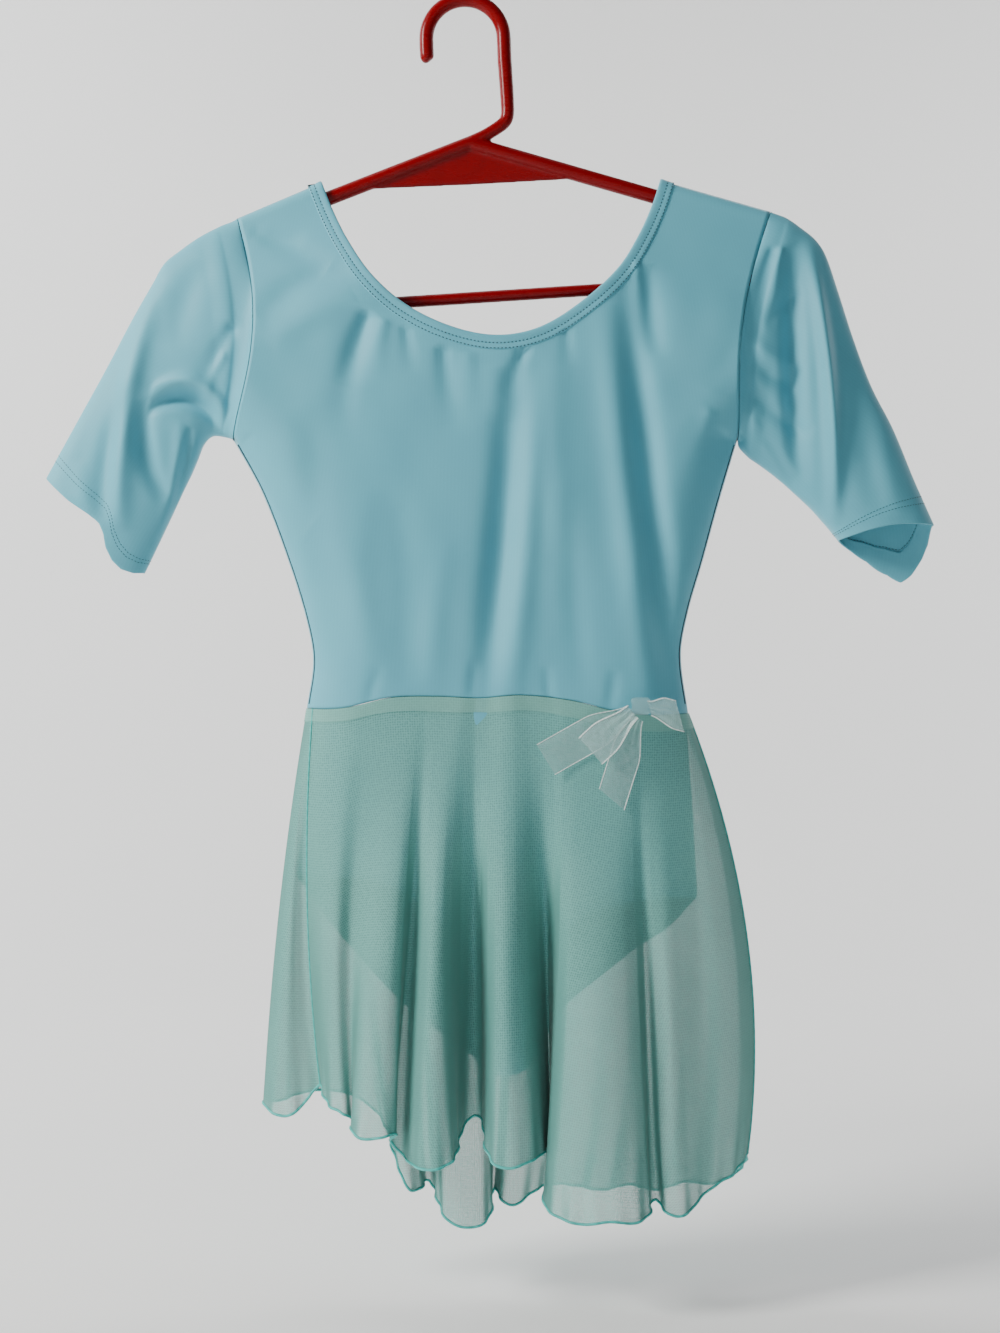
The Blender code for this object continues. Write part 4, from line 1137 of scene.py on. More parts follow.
@dataclass(frozen=True)
class PowerNet:
    """Fine nylon power net, a knitted mesh of small holes.

    To the eye it is a pale mint veil: clear in one layer, deep green where layers lie together, with painted
    dark green shade along the sides of its folds.

    Attributes:
        light: Colour of the threads.
        deep: Colour of the threads in patches.
        hole: Spacing of the holes in millimetres, drawn twice as wide as real to show.
        open_share: How much of a hole stops the light.
        thread_share: How much of a thread stops the light.
        folded: Painted shade colour, a dark green, along the sides of folds.
        side_cover: How much more light those sides stop.
        fold_shade_share: How far their colour goes to the painted shade colour.
        hole_shade: How much darker the holes are than the threads.
    """

    light: str = "83C6BE"
    deep: str = "72B8B0"
    hole: float = 1.5
    open_share: float = 0.52
    thread_share: float = 0.84
    folded: str = "1C6660"
    side_cover: float = 0.42
    fold_shade_share: float = 0.62
    hole_shade: float = 0.16

    def make(self, name: str = "nylon_power_net") -> bpy.types.Material:
        """Build the material."""
        made, tree, shader = new_material(name)
        place = object_place(tree)
        chart = cloth_place(tree)
        clouds = noise(tree, place, 16.0, 3.0)
        tone = blend(tree, clouds, linear(self.deep), linear(self.light))
        cells = add_node(
            tree,
            "ShaderNodeTexVoronoi",
            {"Scale": 1000 / self.hole, "Randomness": 0.25},
            {"Vector": chart},
        )
        threads = add_node(
            tree,
            "ShaderNodeMapRange",
            {"From Min": 0.15, "From Max": 0.55, "To Min": self.open_share, "To Max": self.thread_share},
            {"Value": cells.outputs["Distance"]},
        )
        side_on_cover_and_shade = add_node(tree, "ShaderNodeAttribute", {"attribute_name": "side_on_cover_and_shade"})
        cover = add_node(
            tree,
            "ShaderNodeMath",
            {"operation": "MULTIPLY_ADD", 1: self.side_cover, "use_clamp": True},
            {0: side_on_cover_and_shade.outputs["Fac"], 2: threads.outputs["Result"]},
        )
        tree.links.new(cover.outputs["Value"], shader.inputs["Alpha"])
        # Painted shade: the sides of folds are coloured towards the dark green.
        fold_shade_amount = add_node(
            tree,
            "ShaderNodeMath",
            {"operation": "MULTIPLY", 1: self.fold_shade_share, "use_clamp": True},
            {0: side_on_cover_and_shade.outputs["Fac"]},
        )
        fold_shaded_tone = blend(tree, fold_shade_amount.outputs["Value"], tone, linear(self.folded))
        shade = blend(tree, self.hole_shade, fold_shaded_tone, threads.outputs["Result"], "MULTIPLY")
        tree.links.new(shade, shader.inputs["Base Color"])
        emboss(tree, shader, cells.outputs["Distance"], 0.2, 0.15)
        set_shader(shader, {"Roughness": 0.7, "Sheen Weight": 0.25, "Sheen Roughness": 0.5})
        set_shader(shader, {"Sheen Tint": linear("E2F4EC"), "Specular IOR Level": 0.25})
        return made


@dataclass(frozen=True)
class Organza:
    """Woven nylon organza ribbon, thin and stiff.

    To the eye it is a clear silvery film with fine cross threads and a glint on each bend.

    Attributes:
        colour: Colour of the threads.
        weave: Spacing of the cross threads in millimetres, drawn coarser than real to show.
        clear: How much the film stops the light between its threads.
        thread: How much a thread stops the light.
    """

    colour: str = "8FC4C2"
    weave: float = 0.6
    clear: float = 0.24
    thread: float = 0.50

    def make(self, name: str = "organza_ribbon_film") -> bpy.types.Material:
        """Build the material."""
        made, tree, shader = new_material(name)
        chart = cloth_place(tree)
        weft = add_node(
            tree,
            "ShaderNodeTexWave",
            {"bands_direction": "Y", "Scale": 1000 / self.weave / (2 * math.pi), "Distortion": 1.5},
            {"Vector": chart},
        )
        haze = noise(tree, chart, 260.0, 3.0)
        cover = add_node(
            tree,
            "ShaderNodeMath",
            {"operation": "MULTIPLY"},
            {0: weft.outputs["Fac"], 1: haze},
        )
        alpha = add_node(
            tree,
            "ShaderNodeMapRange",
            {"From Max": 0.6, "To Min": self.clear, "To Max": self.thread},
            {"Value": cover.outputs["Value"]},
        )
        tree.links.new(alpha.outputs["Result"], shader.inputs["Alpha"])
        tone = blend(tree, haze, linear(self.colour), linear("C9E9E8"))
        tree.links.new(tone, shader.inputs["Base Color"])
        set_shader(shader, {"Roughness": 0.2, "Specular IOR Level": 1.0, "Sheen Weight": 0.25})
        return made


@dataclass(frozen=True)
class Thread:
    """Spun polyester or shiny nylon thread: fine cords that catch the light.

    Attributes:
        colour: Its colour.
        roughness: How it scatters light.
        ply: Spacing of its wraps along the cord in millimetres.
    """

    colour: str
    roughness: float = 0.45
    ply: float = 1.3

    def make(self, name: str) -> bpy.types.Material:
        """Build the material."""
        made, tree, shader = new_material(name)
        place = object_place(tree)
        wraps = add_node(
            tree,
            "ShaderNodeTexWave",
            {"bands_direction": "DIAGONAL", "Scale": 1000 / self.ply / (2 * math.pi), "Distortion": 2.0},
            {"Vector": place},
        )
        tone = blend(tree, 0.22, linear(self.colour), wraps.outputs["Color"], "MULTIPLY")
        tree.links.new(tone, shader.inputs["Base Color"])
        emboss(tree, shader, wraps.outputs["Fac"], 0.4, 0.2)
        set_shader(shader, {"Roughness": self.roughness, "Sheen Weight": 0.2})
        return made


@dataclass(frozen=True)
class MouldedPlastic:
    """Polystyrene, injection moulded and glossy.

    To the eye it is a clear deep red with soft highlights, a faint orange peel and hairline scuffs.

    Attributes:
        colour: Its body colour.
        thin: Its colour where light comes through.
        peel: Size of the orange peel in millimetres.
    """

    colour: str = "760006"
    thin: str = "860008"
    peel: float = 7.0

    def make(self, name: str = "red_polystyrene") -> bpy.types.Material:
        """Build the material."""
        made, tree, shader = new_material(name)
        place = object_place(tree)
        peel = noise(tree, place, 1000 / self.peel)
        scuff_place = add_node(
            tree,
            "ShaderNodeMapping",
            {"Scale": (60.0, 900.0, 260.0), "Rotation": (0.0, 0.3, 0.2)},
            {"Vector": place},
        )
        scuffs = add_node(
            tree,
            "ShaderNodeTexNoise",
            {"Scale": 1.0, "Detail": 4.0, "Roughness": 0.7},
            {"Vector": scuff_place.outputs["Vector"]},
        )
        tone = blend(tree, peel, linear(self.colour), linear(self.thin))
        tree.links.new(tone, shader.inputs["Base Color"])
        rough = add_node(
            tree,
            "ShaderNodeMapRange",
            {"From Min": 0.35, "From Max": 0.75, "To Min": 0.24, "To Max": 0.34},
            {"Value": scuffs.outputs["Fac"]},
        )
        tree.links.new(rough.outputs["Result"], shader.inputs["Roughness"])
        emboss(tree, shader, peel, 0.12, 0.3)
        set_shader(shader, {"Specular IOR Level": 0.22, "IOR": 1.5})
        return made


class Shop:
    """The finishes on hand, each made once."""

    def __init__(self) -> None:
        """Make every finish."""
        self.knit = StretchKnit().make()
        # The inside of the knit is the same cloth in a far darker colour: painted shade inside the hollow.
        self.shaded_lining = StretchKnit("12414E", "0F3A46").make("nylon_elastane_knit_inside_painted_shade")
        self.net = PowerNet().make()
        self.doubled_net = PowerNet("8FD0C6", "7FC2B8", 1.5, 0.66, 0.80).make("nylon_power_net_doubled")
        self.organza = Organza().make()
        # The thread is drawn far darker than the knit: painted shade along the stitches and seams.
        self.shaded_sewing = Thread("174B5A").make("sewing_thread")
        self.hem_roll = Thread("3FC4BC", 0.5, 1.6).make("overlock_thread")
        # The edge thread is near white: the ribbon's denser edge, lit as a painted highlight.
        self.edge_highlight_thread = Thread("F2FFFD", 0.18, 0.8).make("ribbon_edge_thread")
        self.plastic = MouldedPlastic().make()


def settle(
    piece: bpy.types.Object, finish: bpy.types.Material, stands_for: Sequence[str] = ()
) -> bpy.types.Object:
    """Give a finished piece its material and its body.

    Args:
        piece: The piece, in place.
        finish: Its material.
        stands_for: The plain nodes that it replaces.

    Returns:
        The piece.
    """
    if not piece.data.materials:
        piece.data.materials.append(finish)
    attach(piece, "root")
    if stands_for:
        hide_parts(*stands_for)
    LOG.info("%s: %d faces", piece.name, len(piece.data.polygons))
    return piece


class Shape:
    """The one hollow form that every panel of the leotard is drawn on."""

    trunk = Trunk()


def waist_point(x: Grid, drop: float = 0.0) -> Grid:
    """Find the height of the waist seam at x, less a drop."""
    return WAIST_CURVE.other(x, 0) - drop


@dataclass
class Bodice:
    """The leotard above the waist: two knit panels with shoulder, side and armhole seams.

    Attributes:
        wall: Thickness of the knit.
        fine: How many columns the grid has for each of the plain solid's.
        under_band: How far below the neck's edge each panel starts, inside the band.
        edge_pull: How quickly the bends of the side edges fade inwards.
        shoulder_columns: Columns along the left and the right shoulder.
        neck_columns: Columns along the neck.
        side_rows: Rows below the underarm.
        underarm_share: How far down a panel the underarm is.
    """

    wall: float = 0.6
    fine: int = 6
    under_band: float = 5.5
    edge_pull: float = 20.0
    shoulder_columns: tuple[int, int] = (3, 4)
    neck_columns: int = 24
    side_rows: int = 8
    underarm_share: float = 0.455

    def flat(self, neck_rows: Sequence[Sequence[float]]) -> Grid:
        """Lay a panel out in the hanger's plane.

        Args:
            neck_rows: The edge of its neckline.

        Returns:
            A grid of x and z, from the shoulders down to the waist seam.
        """
        trunk = Shape.trunk
        left_steps, right_steps = self.shoulder_columns
        index = np.arange(self.neck_columns * self.fine + 1) / self.fine
        shares = eased(index / self.neck_columns, 0.85)
        neck = parallel_neck(neck_rows, self.under_band, shares)
        lead = np.arange(left_steps * self.fine)[:, None] / (left_steps * self.fine)
        tail = np.arange(1, right_steps * self.fine + 1)[:, None] / (right_steps * self.fine)
        top = np.concatenate([
            mix(np.array(NOTCH_LEFT), neck[0], lead),
            neck,
            mix(neck[-1], np.array(NOTCH_RIGHT), tail),
        ])
        steps = [self.underarm_share * share for share in ARMHOLE_SHARES]
        steps += [mix(self.underarm_share, 1.0, (k + 1) / self.side_rows) for k in range(self.side_rows)]
        down = []
        for a, b in zip(steps, steps[1:]):
            count = max(1, round((b - a) * 170))
            down += [mix(a, b, k / count) for k in range(count)]
        down = np.array(down + [1.0])
        edges = []
        for side, notch, underarm, low in (
            (Side.LEFT, NOTCH_LEFT, UNDERARM_LEFT, SIDE_LEFT[-1]),
            (Side.RIGHT, NOTCH_RIGHT, UNDERARM_RIGHT, SIDE_RIGHT[-1]),
        ):
            above = mix(notch[1], underarm[1], down / self.underarm_share)
            below = mix(underarm[1], low[1], (down - self.underarm_share) / (1 - self.underarm_share))
            upper = down <= self.underarm_share
            height = np.where(upper, above, below)
            edges.append(
                np.stack([np.where(upper, trunk.armhole(side, above), trunk.edge(side, below)), height], -1)
            )
        across = eased(np.linspace(0.0, 1.0, len(top)), 0.75)
        foot = mix(SIDE_LEFT[-1][0], SIDE_RIGHT[-1][0], across)
        bottom = np.stack([foot, waist_point(foot)], axis=-1)
        return self.filled(top, edges, bottom, across, down)

    def filled(self, top: Grid, edges: Sequence[Grid], bottom: Grid, across: Grid, down: Grid) -> Grid:
        """Fill a grid in between four edges, the bends of the side edges fading quickly inwards."""
        v = down[:, None, None]
        u = across[None, :, None]
        lid = mix(top[None], bottom[None], v)
        left_bend = edges[0][:, None] - mix(top[0], bottom[0], v)
        right_bend = edges[1][:, None] - mix(top[-1], bottom[-1], v)
        return lid + left_bend * (1 - u) ** self.edge_pull + right_bend * u**self.edge_pull

    def panel(self, name: str, face: Face) -> Cloth:
        """Lift one panel to its form."""
        flat = self.flat(FRONT_NECK if face is Face.FRONT else BACK_NECK)
        grid = surface(face, Shape.trunk.bodice, flat[..., 0], flat[..., 1])
        return Cloth(name, grid, np.array([0.0, face.value, 0.0]))

    def build(self, shop: Shop) -> None:
        """Sew both panels."""
        for name, face, node in (
            ("front_panel", Face.FRONT, "front_bodice"),
            ("back_panel", Face.BACK, "back_bodice"),
        ):
            piece = self.panel(name, face).build()
            thicken(piece, self.wall, shop.knit, shop.shaded_lining)
            settle(piece, shop.knit, [node])
        self.build_seams(shop)

    def build_seams(self, shop: Shop) -> None:
        """Roll the soft ridge of cloth that stands along each side seam."""
        trunk = Shape.trunk
        # The ridge takes the dark thread's finish: a painted shade line beside each side seam.
        for name, side in (("left_side_seam", Side.LEFT), ("right_side_seam", Side.RIGHT)):
            z = np.linspace(-272.0, -432.0, 110)
            inset = 1.6 if side is Side.LEFT else -1.6
            x = trunk.edge(side, z) + inset
            line = surface(Face.FRONT, trunk.bodice, x, z)
            ridge = tube(line, 0.55, 6)
            seam = Cloth(name, ridge, ridge - line[:, None], closed=True)
            settle(seam.build(), shop.shaded_sewing)


@dataclass
class NeckBand:
    """The band round the neck: the knit folded over its edge and sewn down with twin rows.

    Attributes:
        columns: Points along each half.
        stitch_offsets: How far from the edge each row of stitches lies.
    """

    columns: int = 260
    stitch_offsets: tuple[float, float] = (5.0, 8.2)

    def level_line(self, offset: float, lift: float) -> tuple[Grid, Grid]:
        """Draw a line round the neck.

        Args:
            offset: How far it lies from the edge, over the shoulders' cloth.
            lift: How far it stands off the form.

        Returns:
            Its points and the cloth's normal at each.
        """
        trunk = Shape.trunk
        shares = eased(np.linspace(0.0, 1.0, self.columns), 0.85)
        halves, ways = [], []
        for face, rows in ((Face.FRONT, FRONT_NECK), (Face.BACK, BACK_NECK)):
            flat = parallel_neck(rows, offset, shares)
            x, z = flat[:, 0], flat[:, 1]
            line = np.stack([x, face.value * trunk.bodice(face, x, z), z], axis=-1)
            line[0, 1] = line[-1, 1] = 0.0
            normal = surface_normal(face, trunk.bodice, x, z)
            halves.append(line if face is Face.FRONT else line[::-1][1:-1])
            ways.append(normal if face is Face.FRONT else normal[::-1][1:-1])
        line, normal = np.concatenate(halves), np.concatenate(ways)
        return line + normal * lift, normal

    def build(self, shop: Shop) -> None:
        """Fold the band and stitch it."""
        section = (
            (9.0, 0.06),
            (8.6, 0.50),
            (8.2, 0.56),
            (7.4, 0.66),
            (6.2, 0.68),
            (5.4, 0.60),
            (5.0, 0.54),
            (4.6, 0.62),
            (3.4, 0.86),
            (2.0, 1.00),
            (1.0, 0.96),
            (0.35, 0.72),
            (0.0, 0.25),
            (0.12, -0.30),
            (0.7, -0.70),
            (2.2, -0.86),
            (4.4, -0.88),
            (6.6, -0.86),
            (8.6, -0.84),
        )
        rows = [self.level_line(offset, lift)[0] for offset, lift in section]
        _, outward = self.level_line(4.0, 0.0)
        grid = np.stack(rows)
        way = np.broadcast_to(outward, grid.shape) * np.array([1.0] * 12 + [0.0] * 7)[:, None, None]
        band = Cloth("neck_band_fold", grid, way, closed=True)
        settle(band.build(), shop.knit, ["neck_band"])
        stitches = StitchRows(pitch=2.3, length=1.5, thread=0.78, lift=0.06)
        for offset in self.stitch_offsets:
            line, normal = self.level_line(offset, 0.6)
            loop = np.concatenate([line, line[:1]])
            stitches.add(loop, np.concatenate([normal, normal[:1]]))
        settle(stitches.build("neck_stitches"), shop.shaded_sewing)


@dataclass
class Sleeve:
    """A half sleeve: one piece of knit sewn to a tube along the underarm, its hem turned and stitched.

    Attributes:
        side: Which arm.
        rows: Its sections from the armhole to the cuff.
        creases: Its folds as the viewer sees them.
        around: Points round a section.
        along: Points from the armhole to the cuff.
        hem: How far the cuff is turned in.
        roll: Radius of the cuff's turned edge.
        roundness: How boxy a section is.
        stitch_offsets: How far from the cuff each row of stitches lies.
        cuff_front: How far the front's edge runs past its line, by share from the fold.
        cuff_back: The same for the back's edge.
        cuff_run: How many sections above the cuff it reaches.
    """

    side: Side
    rows: Sequence[Sequence[float]]
    creases: tuple[Fold, ...]
    around: int = 176
    along: int = 130
    hem: float = 11.0
    roll: float = 0.62
    roundness: float = 0.4
    stitch_offsets: tuple[float, float] = (9.0, 12.0)
    cuff_front: tuple[tuple[float, float], ...] = ((0.0, 0.0), (1.0, 0.0))
    cuff_back: tuple[tuple[float, float], ...] = ((0.0, 0.0), (1.0, 0.0))
    cuff_run: float = 3.2

    def cuff_wave(self, station: Grid, share: Grid, front: Grid) -> Grid:
        """Work out how far the cuff's uneven edge pushes cloth along the sleeve.

        Args:
            station: Section numbers, as a column.
            share: Shares of the way from the fold to the seam.
            front: True for points on the front.

        Returns:
            The push in millimetres, gone a few sections above the cuff.
        """
        rows = [np.array(table).T for table in (self.cuff_front, self.cuff_back)]
        pushes = [np.interp(share, shares, sizes) for shares, sizes in rows]
        last = len(self.rows) - 1
        near = smooth((station - last + self.cuff_run) / self.cuff_run)
        return np.where(front, *pushes) * near[:, None]

    def grid(self, station: Grid, turn: Grid) -> Grid:
        """Place points on the sleeve.

        Args:
            station: Section numbers, fractions too, as a column.
            turn: Shares of the way round from the fold at the top, as a row.

        Returns:
            Points in space.
        """
        trunk = Shape.trunk
        table = Curve(self.rows).by_index(station)
        deep = Curve(self.rows).by_index(np.maximum(station, 1.0))
        fold, seam = table[:, None, 0:2], table[:, None, 2:4]
        chord = seam - fold
        away = unit(np.stack([chord[..., 1], -chord[..., 0]], axis=-1)) * -self.side.value
        front = turn < 0.5
        share = np.where(front, turn * 2, 2 - turn * 2)
        share = ((1 - np.cos(np.pi * share)) / 2)[None, :]
        depth = np.where(front[None], deep[:, None, 4], deep[:, None, 5])
        bow = np.where(front[None], table[:, None, 6], table[:, None, 7])
        push = bow * np.sin(np.pi * share) + self.cuff_wave(station, share, front[None])
        flat = fold + chord * share[..., None] + away * push[..., None]
        x, z = flat[..., 0], flat[..., 1]
        y = depth * np.clip(4 * share * (1 - share), 0.0, 1.0) ** self.roundness
        inner = smooth(1 - station)[:, None]
        armhole = trunk.armhole(self.side, z)
        hollow = np.where(
            front[None],
            trunk.bodice(Face.FRONT, armhole, z),
            trunk.bodice(Face.BACK, armhole, z),
        )
        x = mix(x, armhole + self.side.value * SEAM_GAP * 1.5, inner)
        y = mix(y, hollow, inner)
        relief = ripple(x, z, SLOW_WAVES)
        for crease in self.creases:
            bumps = crease.field(x, z)
            relief = relief + np.where(front[None], bumps, -0.55 * bumps)
        soft = smooth(station / 0.8)[:, None] * np.clip(4 * share * (1 - share), 0.0, 1.0) ** 0.5
        y = y + relief * soft
        return np.stack([x, np.where(front[None], -y, y), z], axis=-1)

    def outward(self, grid: Grid) -> Grid:
        """Point from the middle of each section to its cloth."""
        return unit(grid - grid.mean(axis=1, keepdims=True))

    def stations(self) -> Grid:
        """List the section numbers of the rows, closer towards the armhole."""
        last = len(self.rows) - 1
        return last * (np.linspace(0.0, 1.0, self.along) ** 1.12)

    def build(self, shop: Shop) -> None:
        """Sew the sleeve, with its turned hem."""
        label = self.side.name.lower()
        turn = np.arange(self.around) / self.around
        body = self.grid(self.stations(), turn)
        sleeve = Cloth(f"{label}_half_sleeve", body, self.outward(body), closed=True)
        ways = sleeve.normals()
        cuff, ahead = body[-1], unit(body[-1] - body[-4])
        roll = []
        for angle in (0.4, 0.9, 1.4, 1.9, 2.4, 2.9):
            push = math.sin(angle) * self.roll
            drop = (1 - math.cos(angle)) * self.roll
            roll.append(cuff + ahead * push - ways[-1] * drop)
        inside = []
        for gone in np.linspace(1.0, self.hem, 10):
            row = self.row_from_cuff(gone, turn)
            inside.append(row - self.row_normals(gone, turn) * 1.25)
        grid = np.concatenate([body, np.stack(roll), np.stack(inside)])
        facing = np.concatenate([self.outward(body), 0 * np.stack(roll), 0 * np.stack(inside)])
        whole = Cloth(f"{label}_half_sleeve", grid, facing, closed=True)
        settle(whole.build(), shop.knit, [f"{label}_sleeve"])
        stitches = StitchRows(pitch=2.1, length=1.55, thread=0.46, lift=0.06)
        for gone in self.stitch_offsets:
            line = self.row_from_cuff(gone, turn)
            normal = self.row_normals(gone, turn)
            stitches.add(np.concatenate([line, line[:1]]), np.concatenate([normal, normal[:1]]))
        settle(stitches.build(f"{label}_cuff_stitches"), shop.shaded_sewing)

    def station_at(self, gone: float) -> float:
        """Find the section number that lies this far up from the cuff along its middle."""
        last = len(self.rows) - 1
        a, b = np.array(self.rows[-1][:4]), np.array(self.rows[-2][:4])
        step = (np.hypot(*(a - b)[:2]) + np.hypot(*(a - b)[2:])) / 2
        return last - gone / step

    def row_from_cuff(self, gone: float, turn: Grid) -> Grid:
        """Place a ring of points this far up from the cuff."""
        return self.grid(np.array([self.station_at(gone)]), turn)[0]

    def row_normals(self, gone: float, turn: Grid) -> Grid:
        """Find the cloth's normals round a ring this far up from the cuff."""
        here = self.station_at(gone)
        rows = self.grid(np.array([here - 0.05, here, here + 0.05]), turn)
        around = np.roll(rows[1], -1, axis=0) - np.roll(rows[1], 1, axis=0)
        normal = unit(np.cross(around, rows[2] - rows[0]))
        return normal if np.sum(normal * self.outward(rows)[1]) > 0 else -normal


@dataclass
class Brief:
    """The leotard below the waist: two knit panels down to the leg openings, seen through the mesh.

    Attributes:
        wall: Thickness of the knit.
        columns: Points across.
        rows: Points down.
        hem_offsets: How far from a leg opening each row of stitches lies.
    """

    wall: float = 0.6
    columns: int = 120
    rows: int = 70
    hem_offsets: tuple[float, float] = (6.0, 8.5)

    def flat(self, legs: Sequence[Sequence[float]]) -> Grid:
        """Lay a panel out in the hanger's plane, from the waist seam to its leg edge."""
        trunk = Shape.trunk
        inset = trunk.brief_inset
        across = eased(np.linspace(0.0, 1.0, self.columns), 0.8)
        down = np.linspace(0.0, 1.0, self.rows)
        x = mix(BRIEF_LEFT[0][0] + inset, BRIEF_RIGHT[0][0] - inset, across)
        top = np.stack([x, waist_point(x, WAIST_GAP)], axis=-1)
        bottom = Curve(legs).at(across)
        bottom[0, 0] += inset
        bottom[-1, 0] -= inset
        edges = []
        for side, end in ((Side.LEFT, 0), (Side.RIGHT, -1)):
            z = mix(top[end, 1], bottom[end, 1], down)
            edges.append(np.stack([trunk.edge(side, z) - side.value * inset, z], axis=-1))
        return Bodice().filled(top, edges, bottom, across, down)

    def panel(self, name: str, face: Face) -> Cloth:
        """Lift one panel to its form."""
        flat = self.flat(FRONT_LEGS if face is Face.FRONT else BACK_LEGS)
        grid = surface(face, Shape.trunk.brief, flat[..., 0], flat[..., 1])
        return Cloth(name, grid, np.array([0.0, face.value, 0.0]))

    def build(self, shop: Shop) -> None:
        """Sew both panels and stitch their leg edges."""
        stitches = StitchRows(pitch=2.2, length=1.6, thread=0.46, lift=0.1)
        for name, face, node in (
            ("front_brief_panel", Face.FRONT, "front_brief"),
            ("back_brief_panel", Face.BACK, "back_brief"),
        ):
            cloth = self.panel(name, face)
            ways = cloth.normals()
            piece = cloth.build()
            thicken(piece, self.wall, shop.knit, shop.shaded_lining)
            settle(piece, shop.knit, [node])
            gone = np.cumsum(np.linalg.norm(np.diff(cloth.grid[::-1], axis=0), axis=2), axis=0)
            for offset in self.hem_offsets:
                row = np.argmax(gone > offset, axis=0)
                line = cloth.grid[::-1][row, np.arange(self.columns)]
                stitches.add(line[3:-3], ways[::-1][row, np.arange(self.columns)][3:-3])
        settle(stitches.build("leg_stitches"), shop.shaded_sewing)


@dataclass
class Skirt:
    """Two flared panels of net sewn into the waist seam, with side seams and a rolled hem.

    Attributes:
        fine: Columns for each knot of the tables.
        rows: Points down.
        growth: How late the folds grow.
        belly: How much more the front and the back folds stand out halfway down.
        hem_wave: Height of the rolled hem's ripple.
        seam_width: How wide the doubled net is at the waist.
    """

    fine: int = 8
    rows: int = 92
    growth: float = 1.5
    belly: tuple[float, float] = (0.3, 0.1)
    hem_wave: float = 0.9
    seam_width: float = 6.5

    def lines(self, table: Sequence[Sequence[float]], fine: int) -> tuple[Grid, Grid, Grid]:
        """Draw a panel's waist, middle and hem lines.

        Args:
            table: Its ridges and valleys.
            fine: Points for each of them.

        Returns:
            The three lines, as equal lists of points.
        """
        trunk = Shape.trunk
        data = np.array(table, float)
        x = data[:, 1]
        z = waist_point(x)
        before = trunk.bodice(Face.FRONT, x, z)
        behind = trunk.bodice(Face.BACK, x, z)
        y = np.where(data[:, 0] > 0.5, -before, behind)
        knots = (
            np.stack([x, y, z - WAIST_GAP], axis=-1),
            np.stack([data[:, 2], 0 * x, 0 * x], axis=-1),
            data[:, 3:6],
        )
        index = np.arange((len(data) - 1) * fine + 1) / fine
        return tuple(Curve(k).by_index(np.minimum(index, len(data) - 1 - 1e-9)) for k in knots)

    def drop(self, lines: tuple[Grid, Grid, Grid], down: Grid) -> Grid:
        """Hang the cloth from its waist line through its middle to its hem."""
        waist, middle, hem = (line[None] for line in lines)
        v = down[:, None]
        x = waist[..., 0] * (1 - v) * (1 - 2 * v)
        x = x + middle[..., 0] * 4 * v * (1 - v) + hem[..., 0] * v * (2 * v - 1)
        belly = np.where(waist[..., 1] < 0, *self.belly)
        grown = v**self.growth + belly * np.sin(np.pi * np.clip((v - 0.15) / 0.85, 0.0, 1.0)) ** 2
        y = mix(waist[..., 1], hem[..., 1], grown)
        z = mix(waist[..., 2], hem[..., 2], v)
        return np.stack([x, y, z], axis=-1)

    def panel_grid(self, table: Sequence[Sequence[float]]) -> Grid:
        """Give a panel's points, with the ripple of its hem."""
        lines = self.lines(table, self.fine)
        down = np.linspace(0.0, 1.0, self.rows)
        grid = self.drop(lines, down)
        hem = grid[-1]
        gone = np.concatenate([[0.0], np.cumsum(np.linalg.norm(np.diff(hem, axis=0), axis=1))])
        wave = np.sin(gone / 2.15 + 0.9 * np.sin(gone / 23.0)) * (0.7 + 0.3 * np.sin(gone / 11.0))
        around = np.gradient(grid, axis=1)
        normal = unit(np.cross(around, np.gradient(grid, axis=0)))
        near_hem = (down**14)[:, None, None] * self.hem_wave * wave[None, :, None]
        return grid + normal * near_hem

    def build(self, shop: Shop) -> None:
        """Sew the skirt."""
        hems = []
        for name, table, node in (
            ("skirt_front_net", SKIRT_FRONT, "skirt_front"),
            ("skirt_back_net", SKIRT_BACK, "skirt_back"),
        ):
            grid = self.panel_grid(table)
            net = Cloth(name, grid, grid - np.array([20.0, 0.0, 0.0]) - grid * [0, 0, 1])
            # Where the net turns side-on it gets more cover, which is real, and a painted dark green shade.
            lean = 1 - np.abs(net.normals()[..., 1])
            net.marks["side_on_cover_and_shade"] = smooth((lean - 0.04) / 0.55)
            settle(net.build(), shop.net, [node])
            hems.append(grid[-1])
            self.build_waist_strip(name, net, shop)
        loop = np.concatenate([hems[0], hems[1][1:-1]])
        roll = tube(loop, 0.85, 8, closed=True)
        away = roll - loop[:, None]
        ends = [np.concatenate([part, part[:1]]) for part in (roll, away)]
        hem = Cloth("rolled_hem", ends[0], ends[1], closed=True).build()
        merge_doubles(hem)
        settle(hem, shop.hem_roll)
        for name, x in (("left_skirt_seam", 0), ("right_skirt_seam", -1)):
            grid = self.panel_grid(SKIRT_FRONT)
            line = grid[:, x]
            seam = Cloth(name, tube(line, 0.6, 6), tube(line, 0.6, 6) - line[:, None], closed=True)
            settle(seam.build(), shop.hem_roll)

    def build_waist_strip(self, name: str, net: Cloth, shop: Shop) -> None:
        """Lay the doubled net of the seam allowance inside the top of a panel."""
        ways = net.normals()
        rows = 9
        strip = net.grid[:rows] + ways[:rows] * 0.35
        gone = np.linalg.norm(np.diff(net.grid[:rows], axis=0), axis=2).cumsum(axis=0).mean(axis=1)
        keep = int(np.searchsorted(gone, self.seam_width)) + 2
        allowance = Cloth(name.replace("_net", "_allowance"), strip[:keep], net.outward[:keep])
        settle(allowance.build(), shop.doubled_net)


